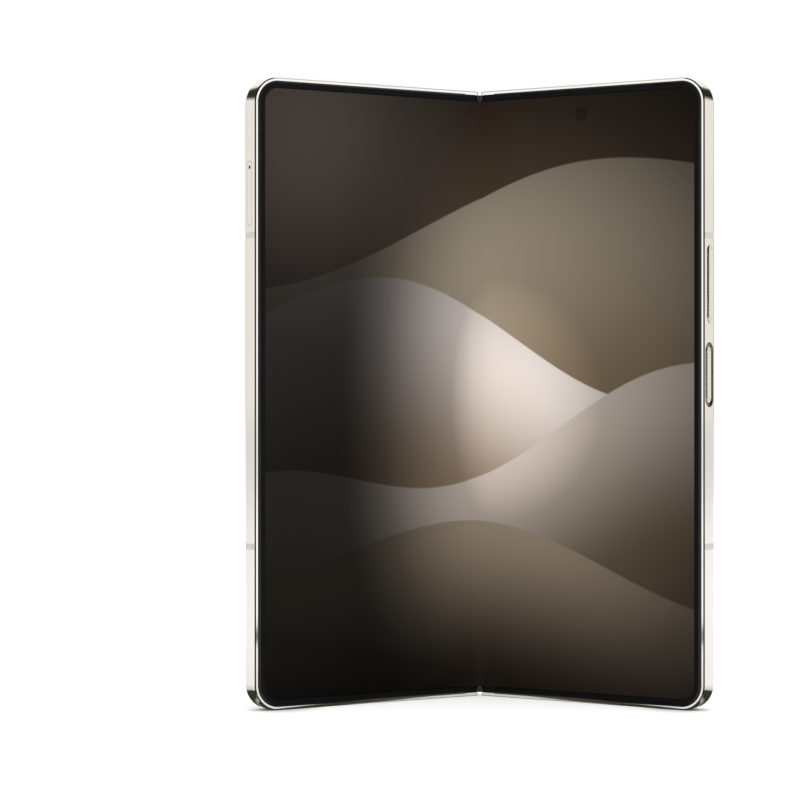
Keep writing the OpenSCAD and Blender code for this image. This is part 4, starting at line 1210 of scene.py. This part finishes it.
@dataclass(frozen=True)
class CreaseGuard(Crease):
    """Two strips of soft film that cover the ends of the crease between the trim and the middle."""

    end: float = 0.95 * MM  # Distance of a strip's outer edge from the phone's end
    width: float = 1.75 * MM  # Width of a strip
    start_x: float = 0.85 * MM  # Distance of the strips from the middle, in the row frame
    stop_x: float = 4.88 * MM  # Distance of their other ends from the hinge line, in the flat frame
    film: float = 0.12 * MM  # Thickness of the film
    gap: float = 0.02 * MM  # Gap between the film and the display
    soft_steps: int = 8  # Columns of the part beyond the bend

    def build(self) -> None:
        """Builds and dresses the strips at the top and the bottom."""
        for word, low in (("bottom", self.end), ("top", OUTLINE.height - self.end - self.width)):
            name = self.name(f"crease_guard_{word}")
            piece = self.bend(name, low, low + self.width, self.gap + self.film, self.stop_x, self.soft_steps)
            with editing(piece):
                choose(piece, Pick.FACE, lambda face: abs(face.calc_center_median().x) < self.start_x)
                bpy.ops.mesh.delete(type="FACE")
                weld(WELD)
                face_out()
            make_sheet(piece, self.film)
            self.deliver(piece, "trim_black", (), GUARD, weighted=False, stop=self.stop)


@dataclass(frozen=True)
class HingeCable(Part):
    """One half of the flat cable that hangs through the hinge, cut into pieces near the middle."""

    straight_x: float = 3.6 * MM  # Up to where the cable is cut into pieces, in the flat frame
    steps: int = 24  # Pieces that the cable is cut into between the middle and there

    def build(self) -> None:
        """Builds and dresses this half of the cable."""
        piece = copy_of_node("hinge_flex", self.name("hinge_cable"))
        stop = STANCE.matrix(self.half) @ Vector((self.straight_x, self.box("hinge_flex")[1].y, 0))
        with editing(piece):
            for step in range(self.steps + 1):
                bpy.ops.mesh.select_all(action="SELECT")
                bpy.ops.mesh.bisect(
                    plane_co=(stop.x * step / self.steps, 0, 0), plane_no=(self.half.value, 0, 0),
                    use_fill=step == 0, clear_inner=step == 0,
                )
        self.deliver(piece, "flex_film", ("hinge_flex",), POLYIMIDE, stop=stop)


@dataclass(frozen=True)
class BackGlass(Part):
    """Glass over the outside of a half."""

    rim: float = 0.5 * MM  # Width of its rounded rim
    hinge_r: float = 0.8 * MM  # Radius of its corners beside the hinge
    outer_r: float = 5.55 * MM  # Radius of its outer corners
    lap: float = 0.95 * MM  # How far the plateau's flange lies under the glass
    play: float = 0.02 * MM  # Play round the flash

    def build(self) -> None:
        """Builds and dresses the glass."""
        node, slot, finish = {
            Half.RIGHT: ("right_back_glass", "back_glass", CREAM_GLASS),
            Half.LEFT: ("cover_glass", "cover_glass", COVER_GLASS),
        }[self.half]
        low, high = self.box(node)
        piece = round_plate(self.name("outer_glass"), low, high, self.hinge_r, self.outer_r, segments=24)
        bevel_rim(piece, lambda edge: at_depth(edge, high.y), self.rim, segments=5)
        if self.half is Half.RIGHT:
            self.cut_for_cameras(piece)
        lay_uv(piece, lambda place: (place.x / MM, place.z / MM))
        self.stand(piece)
        self.deliver(piece, slot, (node,), finish, degrees=32)

    def cut_for_cameras(self, piece: Object) -> None:
        """Cuts the openings for the camera plateau and the flash.

        Args:
            piece: The glass in the flat frame.
        """
        low, high = self.box("camera_plateau")
        radius = ((high.x - low.x) / 2 - self.lap) * ROUND
        through = Vector((self.lap, -2 * MM, self.lap))
        cut(piece, round_plate("opening", low + through, high - through, radius, radius, segments=32))
        low, high = self.box("flash_lens")
        radius = ((high.x - low.x) / 2 + self.play) / MM
        cut(piece, turned("flash_bore", (low + high) / 2, [(radius, -5), (radius, 5), (0, 5)]))


@dataclass(frozen=True)
class CameraPlateau(Part):
    """Raised camera plateau with its rings, glasses, baffles and lens modules, and the flash beside it."""

    flange: float = 1 * MM  # How much wider the plateau is under the glass
    foot: float = 0.3 * MM  # How far the plateau reaches down through the glass
    bevel: float = 0.9 * MM  # Width of the plateau's bevelled rim
    bore_r: float = 5.62  # Radius of its bores, in millimetres
    dome: float = 1.05 * MM  # Depth from the rings' feet down to which a module's front element reaches
    # Radius of each camera's front element, in millimetres
    openings: tuple[tuple[str, float], ...] = (("upper", 2.6), ("middle", 3.2), ("lower", 2.2))
    # Radius and depth of a lens ring's turned edges, in millimetres: its crown, bore and spigot
    ring: tuple[tuple[float, float], ...] = (
        (6.60, 0.0), (6.60, 0.40), (6.56, 0.53), (6.47, 0.63), (6.33, 0.69), (6.15, 0.70), (5.62, 0.70),
        (5.47, 0.67), (5.36, 0.58), (5.32, 0.45), (5.32, 0.0), (4.78, 0.0), (4.70, -0.08), (4.70, -1.40),
        (5.52, -1.40), (5.60, -1.30), (5.60, 0.0),
    )
    # The same for a cover glass with its narrow ground bevel
    glass: tuple[tuple[float, float], ...] = ((5.24, 0.02), (5.28, 0.06), (5.28, 0.42), (5.16, 0.5), (0, 0.5))
    flash_rings: int = 5  # Moulded rings of the flash

    def build(self) -> None:
        """Builds and dresses the cameras."""
        self.build_plateau()
        for name, r in self.openings:
            centre = self.centre(name)
            # A printed ring, then steps down to the front element
            baffle = [
                (4.68, -0.04), (r + 1.05, -0.04), (r + 0.98, -0.16), (r + 0.62, -0.16), (r + 0.55, -0.28),
                (r + 0.25, -0.28), (r + 0.12, -0.46), (4.68, -0.46),
            ]
            for word, profile, closed, vertices, degrees, finish, slot, nodes in (
                ("ring", self.ring, True, 96, 50, RING_METAL, "ring_metal", (f"camera_ring_{name}",)),
                ("glass", self.glass, False, 72, 30, LENS_COVER, "lens_glass", ("camera_glasses",)),
                ("baffle", baffle, True, 72, 25, BARREL, "camera_black", ()),
            ):
                piece = turned(f"lens_{word}_{name}", centre, profile, closed, vertices)
                self.stand(piece)
                self.deliver(piece, slot, nodes, finish, degrees=degrees, weighted=False)
            self.build_module(name, r * MM * ROUND)
        self.build_flash()

    def centre(self, name: str) -> Vector:
        """Centre of a ring's foot on the plateau, in the flat frame."""
        low, high = self.box(f"camera_ring_{name}")
        return Vector(((low.x + high.x) / 2, self.box("camera_plateau")[1].y, (low.z + high.z) / 2))

    def build_plateau(self) -> None:
        """Builds the plateau, with a bevelled rim and three bores."""
        low, high = self.box("camera_plateau")
        radius = ((high.x - low.x) / 2 - self.flange) * ROUND
        low += Vector((self.flange, -self.foot, self.flange))
        high -= Vector((self.flange, 0, self.flange))
        piece = round_plate("camera_island", low, high, radius, radius, segments=40)
        bevel_rim(piece, lambda edge: at_depth(edge, high.y), self.bevel, segments=6)
        for name, _ in self.openings:
            cut(piece, turned("bore", self.centre(name), [(self.bore_r, -6), (self.bore_r, 1), (0, 1)]))
        self.stand(piece)
        self.deliver(piece, "plateau_aluminium", ("camera_plateau",), PLATEAU, degrees=32)

    def build_module(self, name: str, radius: float) -> None:
        """Dresses one camera module: black can and barrel, coated front element.

        Args:
            name: Place of the camera.
            radius: Radius of its front element.
        """
        centre = self.centre(name)

        def pick(place: Vector, normal: Vector) -> int:
            """1 on the front element and 0 elsewhere."""
            away = place - centre
            return int(math.hypot(away.x, away.z) < radius and away.y > -self.dome)

        piece = copy_of_node(f"camera_{name}", f"camera_module_{name}")
        self.deliver(piece, "camera_black", (f"camera_{name}",), BARREL, LENS, degrees=25, pick=pick)

    def build_flash(self) -> None:
        """Turns the flash lens, with moulded rings that spread its light."""
        low, high = self.box("flash_lens")
        r = (high.x - low.x) / 2 / MM
        profile = [(r - 0.02, -0.8), (r - 0.02, -0.06), (r - 0.06, -0.02), (r - 0.14, 0.0), (r - 0.3, 0.0)]
        for i in range(self.flash_rings):
            ring = r - 0.42 - 0.24 * i
            profile += [(ring, -0.02), (ring - 0.04, -0.07), (ring - 0.1, -0.02)]
        centre = Vector(((low.x + high.x) / 2, high.y, (low.z + high.z) / 2))
        piece = turned("flash_cover", centre, [*profile, (0.2, -0.02), (0, -0.02)])
        self.stand(piece)
        self.deliver(piece, "flash_plastic", ("flash_lens",), FLASH, degrees=40, weighted=False)


@dataclass(frozen=True)
class SideKey(Part):
    """Pill-shaped key in the outer wall of the right half."""

    node: str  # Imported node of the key, and its body
    bevel: float = 0.22 * MM  # Width of its rounded rim
    level: float = 0.01 * MM  # How far the ends of an edge may lie below the key's top

    def build(self) -> None:
        """Dresses a copy of the key with a rounded rim."""
        piece = copy_of_node(self.node, f"{self.node}_cap")
        flat = self.flat()
        floor = max((flat @ vertex.co).x for vertex in piece.data.vertices) - self.level
        bevel_rim(
            piece, lambda edge: all((flat @ vertex.co).x > floor for vertex in edge.verts), self.bevel, segments=4
        )
        self.deliver(piece, "key_aluminium", (self.node,), KEY_METAL, degrees=35, body=self.node)


@dataclass(frozen=True)
class PackedCopy(Part):
    """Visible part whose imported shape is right, with its facets merged and shaded smooth."""

    node: str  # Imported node
    title: str  # Name of the piece
    body: str  # Body that it rides on
    slot: str  # Material slot of the record
    finish: Finish  # Its finish

    def build(self) -> None:
        """Builds and dresses the copy."""
        self.deliver(copy_of_node(self.node, self.title), self.slot, (self.node,), self.finish, body=self.body)


@dataclass(frozen=True)
class InnerWorks:
    """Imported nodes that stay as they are, each with the finish of its real material."""

    # Finishes, each with the nodes that it goes on
    finishes: tuple[tuple[Finish, tuple[str, ...]], ...] = (
        (SINTERED, ("lower_hinge_bracket", "upper_hinge_bracket") + tuple(
            f"{level}_{side}_{part}"
            for level in ("lower", "upper") for side in ("left", "right") for part in ("rotator", "pinion", "idler")
        )),
        (STEEL, (
            "bracket_screws", "friction_discs", "left_hinge_screws", "right_hinge_screws", "left_wing_plate",
            "right_wing_plate", "usb_port", "haptic_motor", "card_reader",
        )),
        (BOARD, ("main_board", "sub_board")),
        (POUCH, ("left_battery", "right_battery")),
        (COPPER, ("charging_coil",)),
        (POLYIMIDE, ("key_flex",)),
        (NYLON, ("top_speaker", "bottom_speaker")),
        (BARREL, ("cover_camera", "inner_camera")),
        (BLACK_GLASS, ("cover_display",)),
    )

    def build(self) -> None:
        """Gives each node its material and reports it."""
        for finish, nodes in self.finishes:
            for node in nodes:
                materials = frame["nodes"][node].data.materials
                materials.clear()
                materials.append(material_of(finish))
                LOG.info("%s keeps its packed mesh, with %s", node, finish.name)


# ---------------------------------------------------------------- studio


@dataclass(frozen=True)
class FloorPattern:
    """Where the floor carries painted shade, the same on both sides of the middle.

    A pair that is named an edge says where a soft edge is 0 and where it is 1.
    """

    add: Adder  # Adds a node to the floor's tree
    x: Socket  # Distance from the middle
    y: Socket  # Depth
    corner: tuple[float, float] = (0.0554, -0.0187)  # Place on the floor under the right outer corner
    shade_at: tuple[float, float] = (1 * MM, 9 * MM)  # Middle of the shade under it, measured from there
    shade_edge: tuple[float, float] = (20 * MM, 12 * MM)  # Radius of that shade
    shade_reach: float = 12 * MM  # Distance from which the phone darkens it
    sky_edge: tuple[float, float] = (0.95, 0.3)  # Share of the sky that is open over it
    ring_lap: float = 1 * MM  # How far the ring beside the phone reaches in past the corner
    ring_r: float = 50 * MM  # Outer radius of that ring
    stripe_way: float = 0.535  # Direction of the stripe before the corner, in radians from straight ahead
    stripe_edge: tuple[float, float] = (0.14, 0.06)  # Half width of the stripe, in radians
    start_at: tuple[float, float] = (0.9 * MM, 2.3 * MM)  # Middle of the spot at its start, measured from the corner
    start_edge: tuple[float, float] = (3.2 * MM, 1.8 * MM)  # Radius of that spot
    strip_back: tuple[float, float] = (7 * MM, 4 * MM)  # Back edge of the strip under the phone, behind its halves
    strip_side: tuple[float, float] = (57.5 * MM, 55.5 * MM)  # Outer edge of that strip
    strip_front: tuple[float, float] = (-3 * MM, -2 * MM)  # Front edge of that strip, measured the same way

    def shade(self) -> Socket:
        """1 under both outer corners where the phone is close, which takes the floor's own white off the shadow.

        Returns:
            The factor.
        """
        centre = (self.corner[0] + self.shade_at[0], self.corner[1] + self.shade_at[1])
        near_by = spot(self.add, self.add("CombineXYZ", self.x, self.y), centre, *self.shade_edge)
        open_sky = self.add("AmbientOcclusion", out="AO", samples=8, in_Distance=self.shade_reach)
        return self.add("MULTIPLY", near_by, self.add("MapRange", open_sky, *self.sky_edge))

    def ring(self) -> Socket:
        """1 on the ring of painted shade on the floor beside the phone, which the lower corners mirror as a dark
        reflection, and 0 elsewhere.

        Returns:
            The factor.
        """
        beside = self.add("GREATER_THAN", self.x, self.corner[0] - self.ring_lap)
        place = self.add("CombineXYZ", self.x, self.y)
        far = self.add("Length", self.add("Mapping", place, in_Location=(-self.corner[0], -self.corner[1], 0)))
        ring = self.add(
            "ValToRGB", self.add("DIVIDE", far, self.ring_r),
            stops=((0.05, "#000000"), (0.13, "#ffffff"), (0.32, "#ffffff"), (0.4, "#8c8c8c"), (1.0, "#000000")),
        )
        return self.add("MULTIPLY", ring, beside)

    def stripes(self) -> Socket:
        """1 on the two stripes of painted shade on the floor, each with a spot at its start, that the lower chamfers
        mirror as dark lines.

        Returns:
            The factor.
        """
        side, before = self.add("SUBTRACT", self.x, self.corner[0]), self.add("SUBTRACT", self.corner[1], self.y)
        away = self.add("ABSOLUTE", self.add("SUBTRACT", self.add("ARCTAN2", side, before), self.stripe_way))
        start = spot(self.add, self.add("CombineXYZ", side, before), self.start_at, *self.start_edge)
        return self.add("MAXIMUM", self.add("Ease", away, *self.stripe_edge), start)

    def strip(self) -> Socket:
        """1 on the painted shade on the floor under the phone and just before it, which the chamfers mirror as a dark
        line.

        Returns:
            The factor.
        """
        behind = self.add("MULTIPLY_ADD", self.x, -self.corner[1] / self.corner[0], self.y)
        under = self.add("Ease", behind, *self.strip_back)
        under = self.add("MULTIPLY", under, self.add("Ease", self.x, *self.strip_side))
        return self.add("MULTIPLY", under, self.add("Ease", behind, *self.strip_front))


@dataclass(frozen=True)
class Studio:
    """Pale floor, soft lights, the surroundings that gloss shows, and the camera."""

    floor: float = 12.0  # Side of the floor
    floor_z: float = -0.02 * MM  # Height of the floor, just below the phone
    floor_glow: float = 0.5  # How much of the floor's white is its own, which keeps the shadow on it pale
    ambient: float = 0.62  # Strength of the light from all round
    camera: tuple[float, float, float] = (0, -0.6602, 0.07745)  # Place of the camera
    lens: float = 117.21  # Focal length, in millimetres on the sensor
    sensor: float = 36  # Width of the sensor, in millimetres
    shift: tuple[float, float] = (-0.0937, -0.0127)  # Shift of the lens
    # Soft edges of what gloss shows, each with the part of a direction where it starts and where it ends: the grey
    # wall's upper and lower edge, the back panels' inner, near and far edge, and the front panel's side and back edge
    wall_edge: tuple[float, float] = (0.1, 0.18)
    back_edges: tuple[tuple[float, float], ...] = ((0.14, 0.32), (0.35, 0.45), (0.76, 0.69))
    front_edges: tuple[tuple[float, float], ...] = ((0.76, 0.58), (0.3, 0.1))
    front_shift: float = 0.08  # How far the panel at the front lies to the left
    # Name, place, side and power of each lamp
    lights: tuple[tuple[str, tuple[float, float, float], float, float], ...] = (
        ("softbox_left", (-0.7, -0.7, 0.9), 0.9, 3.0),
        ("softbox_right", (0.8, -0.5, 0.8), 0.9, 3.0),
        ("softbox_back", (0.1, 1.1, 0.7), 0.9, 4.0),
    )
    target: tuple[float, float, float] = (0, 0, 0.08)  # Where the lamps point

    def build(self) -> None:
        """Sets up the whole studio."""
        self.build_floor()
        self.build_world()
        for name, place, size, power in self.lights:
            lamp = bpy.data.lights.new(name, "AREA")
            lamp.energy, lamp.size = power, size
            turn = (Vector(self.target) - Vector(place)).to_track_quat("-Z", "Y").to_euler()
            self.hang(name, lamp, place, turn).visible_glossy = False
        data = bpy.data.cameras.new("camera")
        data.lens, data.sensor_width = self.lens, self.sensor
        data.shift_x, data.shift_y = self.shift
        bpy.context.scene.camera = self.hang("camera", data, self.camera, (math.pi / 2, 0, 0))
        bpy.context.scene.view_settings.view_transform = "Standard"

    def hang(self, name: str, data: Any, place: tuple[float, float, float], turn: Any) -> Object:
        """Puts a lamp or a camera in its place.

        Args:
            name: Name of the object.
            data: The lamp or the camera.
            place: Its place.
            turn: Its turn, as Euler angles.

        Returns:
            The object.
        """
        holder = bpy.data.objects.new(name, data)
        bpy.context.scene.collection.objects.link(holder)
        holder.location, holder.rotation_euler = place, turn
        return holder

    def build_floor(self) -> None:
        """Lays the floor: white card that keeps the shadow of what stands on it, and shows painted shade to gloss near
        the phone.
        """
        piece = start_with(
            bpy.ops.mesh.primitive_plane_add, "studio_floor", (1, 1, 1), size=self.floor,
            location=(0, 0, self.floor_z),
        )
        made = bpy.data.materials.new("white_card_floor")
        made.use_nodes = True
        made.node_tree.nodes.clear()
        add = partial(add_node, made.node_tree)
        light = add("LightPath", out=None).outputs
        x, y, _ = add("SeparateXYZ", add("TexCoord", out="Object"), out=None).outputs
        pattern = FloorPattern(add, add("ABSOLUTE", x), y)
        glow = add("MULTIPLY", add("ADD", self.seen(add, light), light["Is Camera Ray"]), self.floor_glow / 2)
        shade = add("MULTIPLY", pattern.shade(), light["Is Camera Ray"])
        glow = add("Emission", add("Blend", shade, "#ffffff", "#1c2126"), glow)
        card = add("AddShader", add("BsdfDiffuse", "#f2f2f2"), glow)
        # Painted shade that only gloss sees: near the phone the floor shows dark brown-grey to reflections
        dark = add("MAXIMUM", add("MAXIMUM", pattern.ring(), pattern.strip()), pattern.stripes())
        dark = add("MULTIPLY", light["Is Glossy Ray"], dark)
        add("OutputMaterial", add("MixShader", dark, card, add("Emission", "#3a372c")), out=None)
        piece.data.materials.append(made)

    def seen(self, add: Adder, light: Any) -> Socket:
        """1 on rays from the eye, from gloss and through glass, and 0 on those that light a surface.

        Args:
            add: Adds a node to the tree.
            light: Outputs of the light path.

        Returns:
            The factor.
        """
        seen = add("MAXIMUM", light["Is Camera Ray"], light["Is Glossy Ray"])
        return add("MAXIMUM", seen, light["Is Transmission Ray"])

    def build_world(self) -> None:
        """Makes the surroundings: white to the eye, with dark panels that only gloss shows."""
        world = bpy.data.worlds.new("studio")
        bpy.context.scene.world = world
        world.use_nodes = True
        world.node_tree.nodes.clear()
        add = partial(add_node, world.node_tree)
        light = add("LightPath", out=None).outputs
        colour = add("Blend", light["Is Glossy Ray"], "#ffffff", self.panels(add))
        strength = add("MapRange", self.seen(add, light), 0, 1, self.ambient, 1.0)
        add("OutputWorld", add("Background", colour, strength), out=None)

    def panels(self, add: Adder) -> Socket:
        """Colour of the surroundings in gloss, with a dark panel at the front, two at the back and a grey wall.

        Args:
            add: Adds a node to the world's tree.

        Returns:
            The colour.
        """
        side, deep, high = add("SeparateXYZ", add("TexCoord", out="Generated"), out=None).outputs
        high = add("ABSOLUTE", high)
        wall = add(
            "ValToRGB", deep,
            stops=((0.44, "#ffffff"), (0.51, "#f8f6f1"), (0.58, "#e6e3da"), (0.70, "#a9a79d"), (0.85, "#77756b")),
        )
        wall = add("Blend", add("Ease", high, *self.wall_edge), wall, "#ffffff")
        inner, near, far = self.back_edges
        back = add("MULTIPLY", add("Ease", high, *inner), add("Ease", deep, *near))
        wall = add("Blend", add("MULTIPLY", back, add("Ease", deep, *far)), wall, "#2d2a1e")
        beside, behind = self.front_edges
        side = add("ABSOLUTE", add("ADD", side, self.front_shift))
        front = add("MULTIPLY", add("Ease", side, *beside), add("Ease", deep, *behind))
        return add("Blend", front, wall, "#302d25")


def main() -> None:
    """Builds the phone's looks, piece by piece, and its studio."""
    logging.basicConfig(level=logging.INFO, format="%(message)s")
    parts: list[Any] = [InnerWorks()]
    for half in Half:
        parts += [kind(half=half) for kind in (FrameShell, Trim, DisplaySheet, CreaseGuard, HingeCable, BackGlass)]
    parts += [
        CameraPlateau(),
        SideKey("power_key"),
        SideKey("volume_key"),
        PackedCopy("card_tray", "card_tray_face", "card_tray", "key_aluminium", ANODISED),
        PackedCopy("spine_cover", "spine_shell", "spine", "frame_aluminium", ANODISED),
        PackedCopy("spine_caps", "spine_end_caps", "spine", "black_plastic", CAP_PLASTIC),
        Studio(),
    ]
    for part in parts:
        part.build()


if __name__ == "__main__":
    main()
